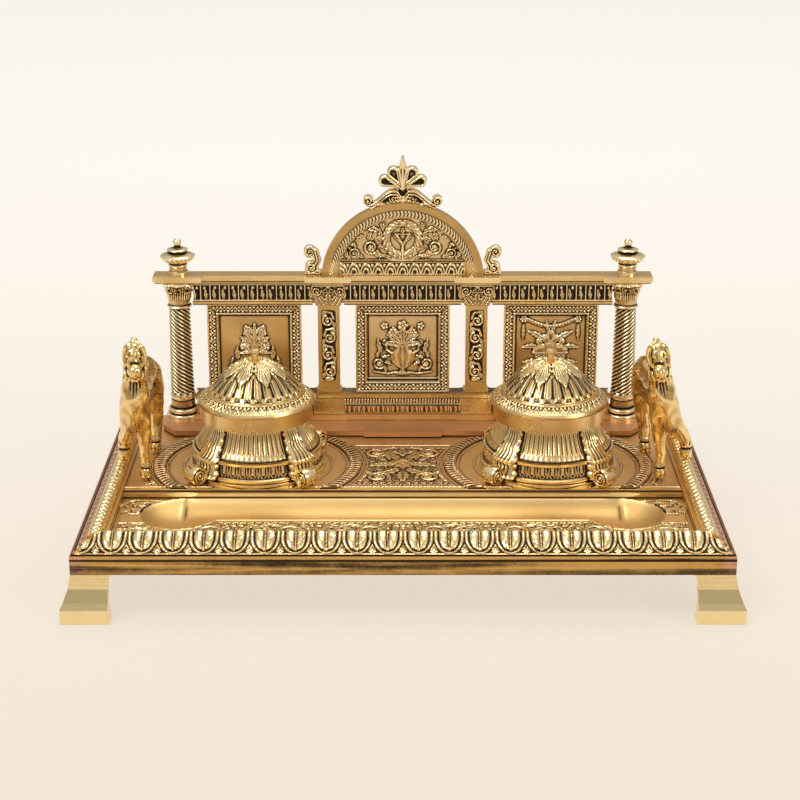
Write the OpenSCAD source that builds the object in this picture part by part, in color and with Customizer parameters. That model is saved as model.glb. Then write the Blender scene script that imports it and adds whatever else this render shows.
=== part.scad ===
// Desk inkstand: a footed tray with a pen trough, two lidded inkwells,
// a pair of standing goats and an arcaded gallery with an arched pediment.
// Millimetres, +Z up, origin on the table under the middle of the tray.
// X runs along the width, -Y is the front with the pen trough.

/* [Tray] */
// Width of the tray, outside the fascia
tray_w = 305; // [299:1:325]
// Depth of the tray, outside the fascia
tray_d = 188; // [187:1:205]
// Height of the plain fascia
fascia_h = 9; // [8:0.5:13]
// Thickness of the fascia wall
fascia_t = 4; // [3:0.5:6]
// Thickness of the deck plate
deck_t = 3; // [2:0.25:4]
// Width of the raised border moulding
border_run = 14.5; // [13:0.5:16]
// Height of the border moulding above the deck
border_h = 7; // [5:0.5:9]
// Radius of the rope bead along the side borders
rope_r = 2.4; // [1.5:0.1:3]
// Distance of the rope bead's centre from the tray's side
rope_inset = 10; // [9:0.5:10.5]

/* [Front panel] */
// Distance of the ledge, where the deck drops to the pen panel, from the tray's rear edge
ledge_inset = 108; // [107:0.5:110]
// Width of the ledge moulding
ledge_w = 5; // [3:0.5:6]
// Drop from the deck to the pen panel
panel_drop = 2.5; // [1.5:0.25:3]
// Length of the pen trough over its round ends
trough_l = 253; // [220:1:262]
// Radius of the round trough ends, in plan
trough_end_r = 18.5; // [16:0.5:20]
// Half width of the trough's narrow middle
trough_mid_r = 13; // [11:0.5:14]
// Depth of the pen trough below its panel
trough_deep = 6; // [4.5:0.5:7]
// Height of the foliage over the pen panel
pen_relief_h = 0.7; // [0.4:0.1:1]
// Distance between the scrolls of the foliage
pen_scroll_pitch = 19; // [17:0.5:21]
// Outer radius of a scroll
pen_scroll_r = 6.5; // [5.5:0.25:7]

/* [Rear step] */
// Depth of the step, from the tray's rear edge
step_d = 34; // [32:0.5:35]
// Height of the step
step_h = 3.5; // [2:0.5:5]
// Distance of the step's ends from the tray's sides
step_inset = 24.5; // [21.5:0.5:26.5]
// Length of the slanted corner at each end of the step
step_corner = 7; // [4:0.5:9]
// Width of the part of the step that comes forward in the middle
step_mid_w = 41; // [30:1:50]
// How far the middle part comes forward
step_mid_run = 2; // [1:0.5:3]

/* [Feet] */
// Height of the feet
foot_h = 23; // [20:0.5:32]
// Width of a foot where it meets the fascia
foot_w = 19; // [16:0.5:24]
// Thickness of a foot's walls
foot_t = 4; // [3:0.5:6]
// How far a toe stands out of the fascia
toe_out = 5; // [3:0.5:7]
// Height of a toe
toe_h = 8; // [6:0.5:10]
// Thickness of a foot's screw flange
foot_flange_t = 3; // [2.5:0.5:5]

/* [Inkwells] */
// Distance of each well from the middle of the tray
well_x = 74.1; // [72:0.1:78]
// Distance of the wells' centres from the tray's rear edge
well_inset = 73.4; // [72:0.1:74]
// Radius of a well at its base
well_base_r = 35; // [33:0.5:36]
// Radius of a well under its collar
well_neck_r = 24.6; // [24:0.2:25]
// Height of the base rings
well_ring_h = 5; // [4:0.5:7]
// Height of the leaf band above the base rings
well_band_h = 7.5; // [6:0.5:9]
// Height of the fluted flare above the leaf band
well_flare_h = 14.5; // [12:0.5:18]
// Height of the collar that stands up inside the lid
well_collar_h = 4; // [3:0.5:5]
// Width of the blocks with the corner volutes
volute_w = 9; // [7:0.5:10]
// Inner radius of the raised ring on the deck round each well
seat_ring_r = 47; // [44:0.5:50]
// Width of that ring
seat_ring_w = 6; // [4:0.5:8]
// Height of the ring and of the flat relief on the deck
relief_h = 0.8; // [0.5:0.1:1.2]

/* [Ink pots] */
// Outer radius of a glass ink pot
pot_r = 19; // [16:0.5:19.5]
// Wall of a glass ink pot
pot_t = 1.8; // [1.4:0.1:2.5]
// Width of the pot's flange
pot_flange_w = 3; // [2:0.5:3.5]
// Thickness of the pot's flange
pot_flange_t = 2; // [1.5:0.5:3]
// Gap round a pot in its well
pot_gap = 0.4; // [0.2:0.1:0.8]

/* [Lids] */
// Radius of a lid's plain band
lid_band_r = 28.3; // [28:0.1:29]
// Radius of a lid's rim roll
lid_rim_r = 30; // [29.5:0.1:30.4]
// Height of the plain band
lid_band_h = 7.5; // [6:0.5:9]
// Radius of the ring at the foot of the dome
dome_r = 22.8; // [20:0.2:24]
// Rise from the rim to the foot of the dome
lid_slope_h = 4; // [3:0.5:6]
// Height of the dome
dome_h = 14.4; // [12:0.2:18]
// Thickness of the lid
lid_t = 1.8; // [1.4:0.1:2.2]
// Height of the leaves over a lid's dome
dome_leaf_h = 0.9; // [0.5:0.1:1.2]
// Number of narrow leaves round the dome's foot
dome_tongues = 26; // [20:2:30]
// Number of broad leaves round the dome's top
dome_leaves = 8; // [6:1:9]
// Gap between a closed lid and its well
lid_gap = 0.4; // [0.3:0.1:0.6]
// Radius of the knob's stem
knob_stem_r = 1.8; // [1.4:0.1:2.4]
// Radius of the knob's cap
knob_cap_r = 2.6; // [2.5:0.1:3.4]
// Height of the knob
knob_h = 7.8; // [7:0.2:11]

/* [Hinges] */
// Distance of the hinge axis behind the well's centre
hinge_run = 32.6; // [32.4:0.1:34]
// Radius of the hinge knuckles
knuckle_r = 2.2; // [2:0.1:2.3]
// Radius of the hinge pin
pin_r = 1; // [0.8:0.1:1.2]
// Radial clearance between the lid's knuckle and the pin
pin_gap = 0.05; // [0.03:0.01:0.08]
// Width of the lid's knuckle
lid_knuckle_w = 7; // [5:0.5:9]
// Width of each knuckle on the well
well_knuckle_w = 3.2; // [2.5:0.1:4]
// Gap between the knuckles
knuckle_gap = 0.3; // [0.2:0.05:0.5]

/* [Gallery] */
// Distance of the gallery's centre plane from the tray's rear edge
gal_inset = 13; // [11:0.5:14]
// Distance of the columns' centres from the step's ends
col_inset = 9.8; // [9:0.1:12]
// Distance of the pilasters from the middle
pil_x = 39.2; // [37:0.1:41]
// Height of the gallery's bottom rail
rail_h = 15.3; // [12:0.5:18]
// Depth of the bottom rail over its plinth
rail_d = 10; // [8:0.5:10.5]
// Height of the panels
panel_h = 49.3; // [44:0.5:56]
// Width of the panels
panel_w = 50; // [46:0.5:54]
// Thickness of the panels
panel_t = 5; // [4:0.5:6]
// Width of the panels' leaf frame
panel_frame = 6; // [4:0.5:8]
// Depth of the recess inside the frame
panel_recess = 1.5; // [1:0.25:2]
// Height of the fluted entablature
ent_h = 12.4; // [10:0.5:15]
// Depth of the entablature
ent_d = 8; // [6:0.5:9]
// Thickness of the cornice
cornice_t = 3.7; // [3:0.1:5]
// How far the cornice reaches past the columns' centres
cornice_over = 12.8; // [10.5:0.1:15]
// Depth of the cornice between its projections
cornice_d = 9; // [8:0.5:11]
// How far the cornice comes forward over columns and pilasters
cornice_run = 3.5; // [2.5:0.5:5]

/* [Columns and pilasters] */
// Radius of a column's base
col_base_r = 8.4; // [8:0.1:9]
// Radius of the shaft at the bottom
shaft_bottom_r = 6.15; // [5.6:0.05:6.5]
// Radius of the shaft at the top
shaft_top_r = 5.35; // [5:0.05:5.6]
// Height of the column's capital
capital_h = 12; // [10:0.5:12.4]
// Width of a pilaster
pil_w = 11.5; // [9:0.5:13]
// Thickness of a pilaster
pil_t = 6; // [5:0.5:7]
// Width of a pilaster's capital at its top
pil_cap_w = 16.5; // [14:0.5:18]
// Width of the pedestal under a pilaster
pedestal_w = 19.4; // [18.5:0.2:22]
// How far a pedestal comes forward of the rail
pedestal_run = 0.8; // [0.4:0.2:1.6]

/* [Pediment and crest] */
// Outer radius of the arched pediment
ped_r = 43; // [40:0.5:45]
// Depth of the arch's centre below the cornice's top
ped_sink = 4.4; // [2:0.2:6]
// Width of the plain outer moulding
ped_rim_w = 3.3; // [2:0.1:4.5]
// Width of the leaf band inside it
ped_band_w = 5; // [4:0.5:7]
// Height of the band along the pediment's foot
ped_foot_h = 7; // [5:0.5:9]
// Thickness of the pediment over its rim
ped_t = 6; // [5:0.5:8]
// Height of the crest above the top of the arch
crest_h = 24.4; // [22:0.2:30]
// Thickness of the crest
crest_t = 4; // [3:0.5:6]
// Distance of the crest's volutes from the middle
crest_volute_x = 17.8; // [15:0.2:20]
// Radius of the crest's volutes
crest_volute_r = 3.4; // [2.5:0.1:4]
// Half width of the crest's palmette
palmette_r = 12; // [10:0.5:14]
// Height of the side scrolls
scroll_h = 15.6; // [13:0.2:20]
// Radius of the side scrolls' lower volute
scroll_r = 4.4; // [3.5:0.1:4.6]

/* [Finials] */
// Radius of a finial's gadrooned bowl
finial_bowl_r = 9.2; // [8:0.1:10]
// Height of a finial
finial_h = 19.5; // [16:0.5:24]
// Radius of a finial's foot
finial_foot_r = 5.3; // [4:0.1:6]
// Radius of a finial's ball
finial_ball_r = 2.4; // [1.8:0.1:3]

/* [Goats] */
// Distance of a goat's inner front hoof from the tray's side
goat_side_inset = 23.6; // [22.5:0.1:25]
// Distance of the inner front hoof from the tray's rear edge
goat_inset = 93; // [90:0.5:95]
// Height of a goat over its head
goat_h = 78.5; // [72:0.5:84]
// Turn of the left goat's rump towards the middle, in degrees
goat_turn_left = 0; // [-2:1:6]
// Turn of the right goat's rump towards the middle, in degrees
goat_turn_right = 4; // [0:1:6]
// Lean of the left goat towards the middle, sideways over height
goat_lean_left = 0; // [-0.02:0.01:0.1]
// Lean of the right goat towards the middle, sideways over height
goat_lean_right = 0.13; // [0:0.01:0.15]

/* [Fasteners] */
// Radius of the screws and studs
screw_r = 1.5; // [1.2:0.1:2]
// Radial clearance of a screw in a through hole
screw_gap = 0.25; // [0.1:0.05:0.4]
// Radius of a screw's head
screw_head_r = 3; // [2.5:0.1:3.6]
// Height of a screw's head
screw_head_h = 1.6; // [1.2:0.1:2.4]
// How far a screw goes into its piece
screw_bite = 7; // [5:0.5:9]

/* [Hidden] */
$fn = 64;

eps = 0.01;
gold = "#c9a24c";
bright_gold = "#e0bf6c";
dark_gold = "#96702c";
steel = "#8d8a82";
pot_glass = "#9fb8b0";

// Levels, from the table up
deck_z = foot_h + fascia_h;
pen_z = deck_z - panel_drop;
step_z = deck_z + step_h;
rail_z = step_z + rail_h;
panel_z = rail_z + panel_h;
cornice_z = panel_z + ent_h;
top_z = cornice_z + cornice_t;
ped_z = top_z - ped_sink;
ped_top_z = ped_z + ped_r;

// Tray
rear_y = tray_d / 2;
ledge_y = rear_y - ledge_inset;
step_y = rear_y - step_d;
step_w = tray_w - 2 * step_inset;
ledge_front = ledge_y - ledge_w;
panel_half_w = tray_w / 2 - border_run;
panel_front = -tray_d / 2 + border_run;
trough_y = ledge_front - 1 - trough_end_r;
trough_mid_y = ledge_front - 1 - trough_mid_r;
trough_end_x = trough_l / 2 - trough_end_r;
trough_end_R = (pow(trough_end_r, 2) + pow(trough_deep, 2)) / (2 * trough_deep);
trough_mid_R = (pow(trough_mid_r, 2) + pow(trough_deep, 2)) / (2 * trough_deep);
trough_wall = 2.4;
pen_strip_y = panel_front + 0.5 * (trough_y - trough_end_r - panel_front) + 5;
pen_scroll_w = 0.24 * pen_scroll_r;
boss_r = screw_r + 3;
post_over = 0.5 * foot_w;
post_run = foot_w + 2 * post_over;
boss_inset = fascia_t + boss_r + 1.5;

// Inkwells
well_y = rear_y - well_inset;
well_band_z = deck_z + well_ring_h;
well_flare_z = well_band_z + well_band_h;
well_top_z = well_flare_z + well_flare_h;
well_collar_r = well_neck_r + 0.8;
pot_top_z = well_top_z + well_collar_h;
well_floor_z = deck_z + 3;
lid_z = well_top_z + lid_gap;
lid_rim_z = lid_z + lid_band_h;
rim_roll_r = lid_rim_r - lid_band_r;
dome_z = lid_rim_z + rim_roll_r + lid_slope_h;
dome_top_z = dome_z + dome_h;
hinge_z = lid_z + 1.2;
knob_spigot_r = knob_stem_r - 0.4;

// Gallery
gal_y = rear_y - gal_inset;
col_x = step_w / 2 - col_inset;
cornice_w = 2 * (col_x + cornice_over);
rail_front = gal_y - rail_d / 2;
panel_front_y = gal_y - panel_t / 2;
ent_front = gal_y - ent_d / 2;
side_panel_x = (col_x + pil_x) / 2;
capital_z = cornice_z - capital_h;
rail_plinth_h = 0.26 * rail_h;
rail_cap_h = 0.2 * rail_h;
pil_cap_front = ent_front - 1.6;
tenon_h = 1.6;
tenon_t = 2;
ped_front = gal_y - ped_t / 2;

// What is drawn for the right side is mirrored for the left
module side(s) {
    if (s > 0) children();
    else mirror([1, 0, 0]) children();
}

module screw(length) {
    cylinder(h = length, r = screw_r);
    translate([0, 0, -screw_head_h]) cylinder(h = screw_head_h, r = screw_head_r);
}

module block(x, y, z, w, d, h) {
    translate([x - w / 2, y, z]) cube([w, d, h]);
}

// ---------- tray ----------

// Cross-section of the front border, as inset and height
front_border = [[0.6, deck_z - 1], [0.6, deck_z + 0.5], [2.6, deck_z + 0.9],
    [7, deck_z + 0.62 * border_h], [border_run - 2.4, deck_z + border_h - 0.3],
    [border_run - 1, deck_z + border_h - 0.2], [border_run, deck_z + border_h - 1],
    [border_run, deck_z - 1]];
// Cross-section of the side borders
side_border = [[0.6, deck_z - 1], [0.6, deck_z + 0.5], [rope_inset - rope_r, deck_z + border_h - 2.2],
    [rope_inset + rope_r, deck_z + border_h - 2.2], [rope_inset + rope_r + 0.8, deck_z + 1.5],
    [border_run, deck_z + 1], [border_run, deck_z - 1]];

module front_mitre() {
    linear_extrude(deck_z + 2 * border_h)
        polygon([[-tray_w / 2, -tray_d / 2], [tray_w / 2, -tray_d / 2],
            [tray_w / 2 - border_run, panel_front], [-tray_w / 2 + border_run, panel_front]]);
}

module side_mitre() {
    linear_extrude(deck_z + 2 * border_h)
        polygon([[tray_w / 2, -tray_d / 2], [tray_w / 2, tray_d / 2],
            [tray_w / 2 - border_run, tray_d / 2], [tray_w / 2 - border_run, panel_front]]);
}

module border() {
    intersection() {
        translate([-tray_w / 2, -tray_d / 2, 0]) rotate([90, 0, 90])
            linear_extrude(tray_w) polygon(front_border);
        front_mitre();
    }
    for (s = [-1, 1]) side(s) intersection() {
        union() {
            translate([tray_w / 2, -tray_d / 2, 0]) rotate([90, 0, 180])
                linear_extrude(tray_d) polygon(side_border);
            translate([tray_w / 2 - rope_inset, tray_d / 2, deck_z + border_h - rope_r])
                rotate([90, 0, 0]) cylinder(h = tray_d, r = rope_r, $fn = 32);
        }
        side_mitre();
    }
}

// The hollow of the trough; a wall makes the bowl that holds it
module trough(wall) {
    for (s = [-1, 1]) translate([s * trough_end_x, trough_y, pen_z - trough_deep + trough_end_R])
        sphere(r = trough_end_R + wall, $fn = 96);
    translate([-trough_end_x, trough_mid_y, pen_z - trough_deep + trough_mid_R]) rotate([0, 90, 0])
        cylinder(h = 2 * trough_end_x, r = trough_mid_R + wall, $fn = 96);
}

// Leaf with two points, as long and as wide as given
module leaf(l, w, h) {
    leaf_R = (l * l + w * w) / (4 * w);
    intersection() {
        translate([0, leaf_R - w / 2, 0]) cylinder(h = h, r = leaf_R, $fn = 64);
        translate([0, w / 2 - leaf_R, 0]) cylinder(h = h, r = leaf_R, $fn = 64);
        translate([-l / 2, -w / 2, -1]) cube([l, w, h + 2]);
    }
}

// Scroll of the foliage: a ring round a bud, and leaves that leave it towards the next one
module scroll(turn) {
    h = pen_relief_h + eps;
    difference() {
        cylinder(h = h, r = pen_scroll_r, $fn = 32);
        translate([0, 0, -1]) cylinder(h = h + 2, r = pen_scroll_r - pen_scroll_w, $fn = 32);
    }
    cylinder(h = h, r = 0.34 * pen_scroll_r, $fn = 24);
    for (a = [0, 55, 110]) rotate(a * turn)
        translate([1.4 * pen_scroll_r, 0, 0]) leaf(pen_scroll_r, 0.5 * pen_scroll_r, h);
}

// Foliage of the pen panel: five scrolls a side in front of the trough, one in each corner
module pen_foliage() {
    translate([0, 0, pen_z - eps]) intersection() {
        union() {
            translate([0, pen_strip_y, 0]) {
                cylinder(h = pen_relief_h + eps, r = 0.6 * pen_scroll_r, $fn = 32);
                for (a = [0:60:300]) rotate(a) translate([1.0 * pen_scroll_r, 0, 0])
                    leaf(0.9 * pen_scroll_r, 0.45 * pen_scroll_r, pen_relief_h + eps);
            }
            for (s = [-1, 1]) side(s) {
                for (i = [1:5]) translate([i * pen_scroll_pitch - 0.18 * pen_scroll_pitch,
                        pen_strip_y + (i % 2 == 0 ? -1 : 1) * 0.45 * pen_scroll_r, 0])
                    scroll(i % 2 == 0 ? 1 : -1);
                translate([panel_half_w - 2 * pen_scroll_r, pen_strip_y + 0.4 * pen_scroll_r, 0])
                    scroll(1);
                translate([panel_half_w - 1.3 * pen_scroll_r, ledge_front - 1.3 * pen_scroll_r, 0])
                    scroll(-1);
            }
        }
        translate([-panel_half_w + 1, panel_front + 1, -1])
            cube([2 * panel_half_w - 2, ledge_front - panel_front - 2, pen_relief_h + 3]);
    }
}

module seat_rings() {
    intersection() {
        for (s = [-1, 1]) translate([s * well_x, well_y, deck_z - eps]) difference() {
            cylinder(h = relief_h + eps, r = seat_ring_r + seat_ring_w);
            translate([0, 0, -1]) cylinder(h = relief_h + 2, r = seat_ring_r);
        }
        translate([-panel_half_w, ledge_y + 1, 0])
            cube([2 * panel_half_w, step_y - step_mid_run - ledge_y - 2, deck_z + 2]);
    }
}

module base_tray() {
    color(gold) difference() {
        union() {
            difference() {
                translate([-tray_w / 2, -tray_d / 2, foot_h]) cube([tray_w, tray_d, fascia_h]);
                // hollow under the deck
                translate([-tray_w / 2 + fascia_t, ledge_front, foot_h - 1])
                    cube([tray_w - 2 * fascia_t, tray_d / 2 - fascia_t - ledge_front,
                        fascia_h - deck_t + 1]);
                // hollow under the pen panel
                translate([-tray_w / 2 + fascia_t, -tray_d / 2 + fascia_t, foot_h - 1])
                    cube([tray_w - 2 * fascia_t, ledge_front + tray_d / 2 - fascia_t + eps,
                        fascia_h - deck_t - panel_drop + 1]);
                // pen panel, sunk into the deck
                translate([-panel_half_w, panel_front, pen_z])
                    cube([2 * panel_half_w, ledge_front - panel_front, fascia_h]);
            }
            border();
            seat_rings();
            pen_foliage();
            // ledge moulding in front of the deck
            translate([-panel_half_w - eps, ledge_y - 1.5, deck_z]) rotate([0, 90, 0])
                cylinder(h = 2 * panel_half_w + 2 * eps, r = 1.1, $fn = 24);
            // step under the gallery
            translate([0, 0, deck_z - eps]) linear_extrude(step_h + eps)
                polygon([[-step_w / 2, tray_d / 2], [-step_w / 2, step_y + 1.4 * step_corner],
                    [-step_w / 2 + step_corner, step_y], [step_w / 2 - step_corner, step_y],
                    [step_w / 2, step_y + 1.4 * step_corner], [step_w / 2, tray_d / 2]]);
            block(0, step_y - step_mid_run, deck_z - eps, step_mid_w, tray_d / 2 - step_y, step_h + eps);
            // bowl of the trough under the panel
            intersection() {
                trough(trough_wall);
                translate([-tray_w / 2 + fascia_t, -tray_d / 2 + fascia_t, 0])
                    cube([tray_w - 2 * fascia_t, tray_d / 2, pen_z - eps]);
            }
            // bosses for the feet
            for (s = [-1, 1], t = [-1, 1])
                translate([s * (tray_w / 2 - boss_inset), t * (tray_d / 2 - boss_inset), foot_h])
                    cylinder(h = fascia_h - 1 - (t < 0 ? panel_drop : 0), r = boss_r);
        }
        intersection() {
            trough(0);
            translate([-tray_w / 2, -tray_d / 2, 0]) cube([tray_w, tray_d, deck_z + border_h]);
        }
        // holes for the screws of the feet
        for (s = [-1, 1], t = [-1, 1])
            translate([s * (tray_w / 2 - boss_inset), t * (tray_d / 2 - boss_inset), foot_h - 1])
                cylinder(h = foot_screw_bite + 1, r = screw_r);
        // holes for the screws of the wells and of the gallery
        for (s = [-1, 1]) {
            translate([s * well_x, well_y, 0]) cylinder(h = deck_z + 1, r = screw_r + screw_gap);
            for (x = [pil_x, col_x]) translate([s * x, gal_y, 0])
                cylinder(h = step_z + 1, r = screw_r + screw_gap);
        }
        // holes for the screws of the goats' inner hooves
        for (s = [-1, 1]) side(s) place_goat(s) for (p = goat_screw_points)
            translate([p[0], p[1], -deck_t - 1])
                cylinder(h = deck_t + 1 + border_h, r = goat_screw_r + screw_gap / 2);
    }
}
foot_screw_bite = fascia_h - panel_drop - 1.5;

// ---------- feet ----------

// Outline of a foot seen from the side, u inwards from the fascia's face.
// The foot flares out to a toe with a bevelled top.
foot_flare = 0.7 * toe_out;
foot_outline = [[0, foot_h], [-0.35 * foot_flare, toe_h + 0.55 * (foot_h - toe_h)],
    [-foot_flare, toe_h + 2.2], [-toe_out, toe_h - 0.8], [-toe_out, 0.6], [-toe_out + 0.6, 0],
    [foot_w - 1.5, 0], [foot_w - 2, toe_h], [foot_w - 1.5, foot_h - 3],
    [foot_w - 0.9, foot_h - 0.8], [foot_w, foot_h]];
// Hollow behind the foot's two walls
foot_hollow = [[foot_t, foot_h + 1], [foot_t, foot_h - 1],
    [foot_t - 0.35 * foot_flare, toe_h + 0.55 * (foot_h - toe_h)],
    [foot_t - foot_flare + 1, toe_h + 2], [foot_t, -1], [foot_w + 9, -1], [foot_w + 9, foot_h + 1]];

// An outline run in both directions, for the front right corner
module corner_post(outline) {
    intersection() {
        translate([tray_w / 2, -tray_d / 2 - post_over, 0]) mirror([1, 0, 0]) rotate([90, 0, 0])
            translate([0, 0, -post_run]) linear_extrude(post_run) polygon(outline);
        translate([tray_w / 2 + post_over, -tray_d / 2, 0]) rotate([90, 0, 90])
            translate([0, 0, -post_run]) linear_extrude(post_run) polygon(outline);
    }
}

module foot() {
    color(gold) difference() {
        union() {
            difference() {
                corner_post(foot_outline);
                corner_post(foot_hollow);
            }
            // flange for the screw, in the corner behind the walls
            intersection() {
                corner_post(foot_outline);
                translate([tray_w / 2 - foot_w, -tray_d / 2, foot_h - foot_flange_t])
                    cube([foot_w, foot_w, foot_flange_t]);
            }
        }
        translate([tray_w / 2 - boss_inset, -tray_d / 2 + boss_inset, 0])
            cylinder(h = foot_h + 1, r = screw_r + screw_gap);
    }
}

module place_foot(s, t) {
    side(s) if (t < 0) foot();
    else mirror([0, 1, 0]) foot();
}

module foot_screws() {
    color(steel) for (s = [-1, 1], t = [-1, 1])
        translate([s * (tray_w / 2 - boss_inset), t * (tray_d / 2 - boss_inset), foot_h - foot_flange_t])
            screw(foot_flange_t + foot_screw_bite - 0.5);
}

// ---------- inkwells ----------

// Outside of a well, as radius and height above the deck
well_outline = [[well_base_r, deck_z], [well_base_r, deck_z + 0.4 * well_ring_h],
    [well_base_r - 1.2, deck_z + 0.5 * well_ring_h], [well_base_r - 0.8, well_band_z - 0.6],
    [well_base_r - 2, well_band_z], [well_base_r - 3.2, well_band_z + 0.5 * well_band_h],
    [well_base_r - 3.6, well_flare_z - 1.6], [well_base_r - 2.2, well_flare_z - 1.3],
    [well_base_r - 2.2, well_flare_z],
    [well_base_r - 3.4, well_flare_z + 0.4]];
// The fluted flare draws in to the neck on a hollow curve
flare_foot_r = well_base_r - 3.4;
flare = [for (i = [1:8]) let (t = i / 8)
    [well_neck_r + (flare_foot_r - well_neck_r) * pow(1 - t, 1.7),
        well_flare_z + 0.4 + (well_flare_h - 0.4) * t]];
well_collar = [[well_collar_r, well_top_z], [well_collar_r, pot_top_z]];
pot_bore_r = pot_r + pot_gap;
flange_bore_r = pot_r + pot_flange_w + pot_gap;
flange_z = pot_top_z - pot_flange_t;

module well_body() {
    rotate_extrude($fn = 96)
        polygon(concat([[0, deck_z]], well_outline, flare, well_collar, [[0, pot_top_z]]));
    // acanthus straps at the four corners, and the volutes they end in
    for (a = [45:90:315]) rotate([0, 0, a - 10]) rotate_extrude(angle = 20, $fn = 96)
        polygon(concat([for (p = flare) p + [1.2 * (well_top_z - p[1]) / well_flare_h, 0]],
            [[10, well_top_z], [10, well_band_z], [well_base_r - 1, well_band_z],
            [well_base_r - 1, well_flare_z]]));
    volute_at = well_base_r - 1.3 - volute_w / 2;
    for (a = [0:90:270]) rotate([0, 0, a])
        translate([volute_at, volute_at - 3.2, 0]) {
            translate([-volute_w / 2, -volute_w / 2, deck_z])
                cube([volute_w, volute_w, volute_w / 2]);
            translate([-volute_w / 2, 0, deck_z + volute_w / 2]) rotate([0, 90, 0])
                cylinder(h = volute_w, r = volute_w / 2, $fn = 32);
            translate([0, volute_w / 2, deck_z + volute_w / 2]) rotate([90, 0, 0])
                cylinder(h = volute_w, r = volute_w / 2, $fn = 32);
        }
}

// Knuckle centred on x, with the web that carries it from y0
module knuckle(x, w, y0, z0, z1) {
    translate([x - w / 2, hinge_run, hinge_z]) rotate([0, 90, 0])
        cylinder(h = w, r = knuckle_r, $fn = 48);
    translate([x - w / 2, y0, z0]) cube([w, hinge_run - y0, z1 - z0]);
}
well_knuckle_x = lid_knuckle_w / 2 + knuckle_gap + well_knuckle_w / 2;
well_web_z = lid_z - 0.5;

module inkwell() {
    color(gold) difference() {
        union() {
            well_body();
            for (s = [-1, 1])
                knuckle(s * well_knuckle_x, well_knuckle_w, well_neck_r - 2,
                    hinge_z - knuckle_r - 1.2, well_web_z - 0.2);
        }
        translate([0, 0, well_floor_z]) cylinder(h = dome_top_z - well_floor_z, r = pot_bore_r);
        translate([0, 0, flange_z]) cylinder(h = 20, r = flange_bore_r);
        translate([0, 0, deck_z - 1]) cylinder(h = 10, r = screw_r);
        translate([-hinge_run, hinge_run, hinge_z]) rotate([0, 90, 0])
            cylinder(h = 2 * hinge_run, r = pin_r);
    }
}

module place_well(s) {
    translate([s * well_x, well_y, 0]) children();
}

module inkwell_screws() {
    color(steel) for (s = [-1, 1]) place_well(s)
        translate([0, 0, deck_z - deck_t]) screw(deck_t + well_floor_z - deck_z);
}

module ink_pot() {
    color(pot_glass, 0.5) rotate_extrude()
        polygon([[0, well_floor_z + pot_gap], [pot_r, well_floor_z + pot_gap], [pot_r, flange_z],
            [pot_r + pot_flange_w, flange_z], [pot_r + pot_flange_w, pot_top_z],
            [pot_r - pot_t, pot_top_z], [pot_r - pot_t, well_floor_z + pot_gap + pot_t],
            [0, well_floor_z + pot_gap + pot_t]]);
}

// ---------- lids ----------

// Outside of the dome, as radius and height, from its foot to the knob's seat
dome = [for (i = [0:8]) let (t = i / 8)
    [dome_r - (dome_r - knob_cap_r - 1) * t,
        dome_z + dome_h * (0.6 * (1 - pow(1 - t, 2.2)) + 0.4 * t)]];
dome_inside = [for (i = [8:-1:0]) dome[i] - [lid_t, 1.15 * lid_t]];

// The dome's outside, set off by h along its own normals
function dome_raised(h) = [for (i = [0:8]) let (u = dome[min(i + 1, 8)] - dome[max(i - 1, 0)])
    dome[i] + h * [u[1], -u[0]] / norm(u)];

// Skin of height h over the dome, rooted in the lid's wall
module dome_skin(h) {
    root = dome_raised(-0.3);
    rotate_extrude($fn = 96) polygon(concat(dome_raised(h), [for (i = [8:-1:0]) root[i]]));
}

// Narrow leaves round the foot of the dome, and broad ones over them round its top
module dome_foliage() {
    run = dome_r - knob_cap_r - 1;
    narrow_r = dome_r - 0.6 * run;
    narrow_w = 0.58 * 360 / dome_tongues;
    broad_r = dome_r - 0.3 * run;
    broad_w = 0.8 * 360 / dome_leaves;
    inner_r = knob_cap_r + 2;
    intersection() {
        dome_skin(0.75 * dome_leaf_h);
        translate([0, 0, dome_z]) linear_extrude(dome_h + 3) for (i = [0:dome_tongues - 1])
            rotate((i + 0.5) * 360 / dome_tongues) polygon([[narrow_r, 0],
                for (q = [[narrow_r + 2, 1], [dome_r - 1.6, 1], [dome_r - 0.3, 0.6]])
                    q[0] * [cos(narrow_w / 2 * q[1]), sin(narrow_w / 2 * q[1])],
                for (q = [[dome_r - 0.3, 0.6], [dome_r - 1.6, 1], [narrow_r + 2, 1]])
                    q[0] * [cos(narrow_w / 2 * q[1]), -sin(narrow_w / 2 * q[1])]]);
    }
    intersection() {
        dome_skin(dome_leaf_h);
        translate([0, 0, dome_z]) linear_extrude(dome_h + 3) for (i = [0:dome_leaves - 1])
            rotate((i + 0.5) * 360 / dome_leaves) polygon([[broad_r, 0],
                for (q = [[broad_r - 2.4, 0.55], [broad_r - 5, 0.9], [inner_r, 1]])
                    q[0] * [cos(broad_w / 2 * q[1]), sin(broad_w / 2 * q[1])],
                for (q = [[inner_r, 1], [broad_r - 5, 0.9], [broad_r - 2.4, 0.55]])
                    q[0] * [cos(broad_w / 2 * q[1]), -sin(broad_w / 2 * q[1])]]);
    }
}

module lid_shell() {
    rotate_extrude($fn = 96) polygon(concat(
        [[lid_band_r - lid_t, lid_z], [lid_band_r, lid_z], [lid_band_r, lid_rim_z - 0.6],
            [lid_rim_r - 0.4, lid_rim_z], [lid_rim_r, lid_rim_z + rim_roll_r / 2],
            [lid_rim_r - 0.4, lid_rim_z + rim_roll_r], [dome_r + 1.2, dome_z - 0.5],
            [dome_r + 0.8, dome_z]],
        dome, [[0, dome_top_z], [0, dome_top_z - 1.15 * lid_t]],
        dome_inside,
        [[lid_band_r - lid_t, lid_rim_z - 0.4]]));
}

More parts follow.
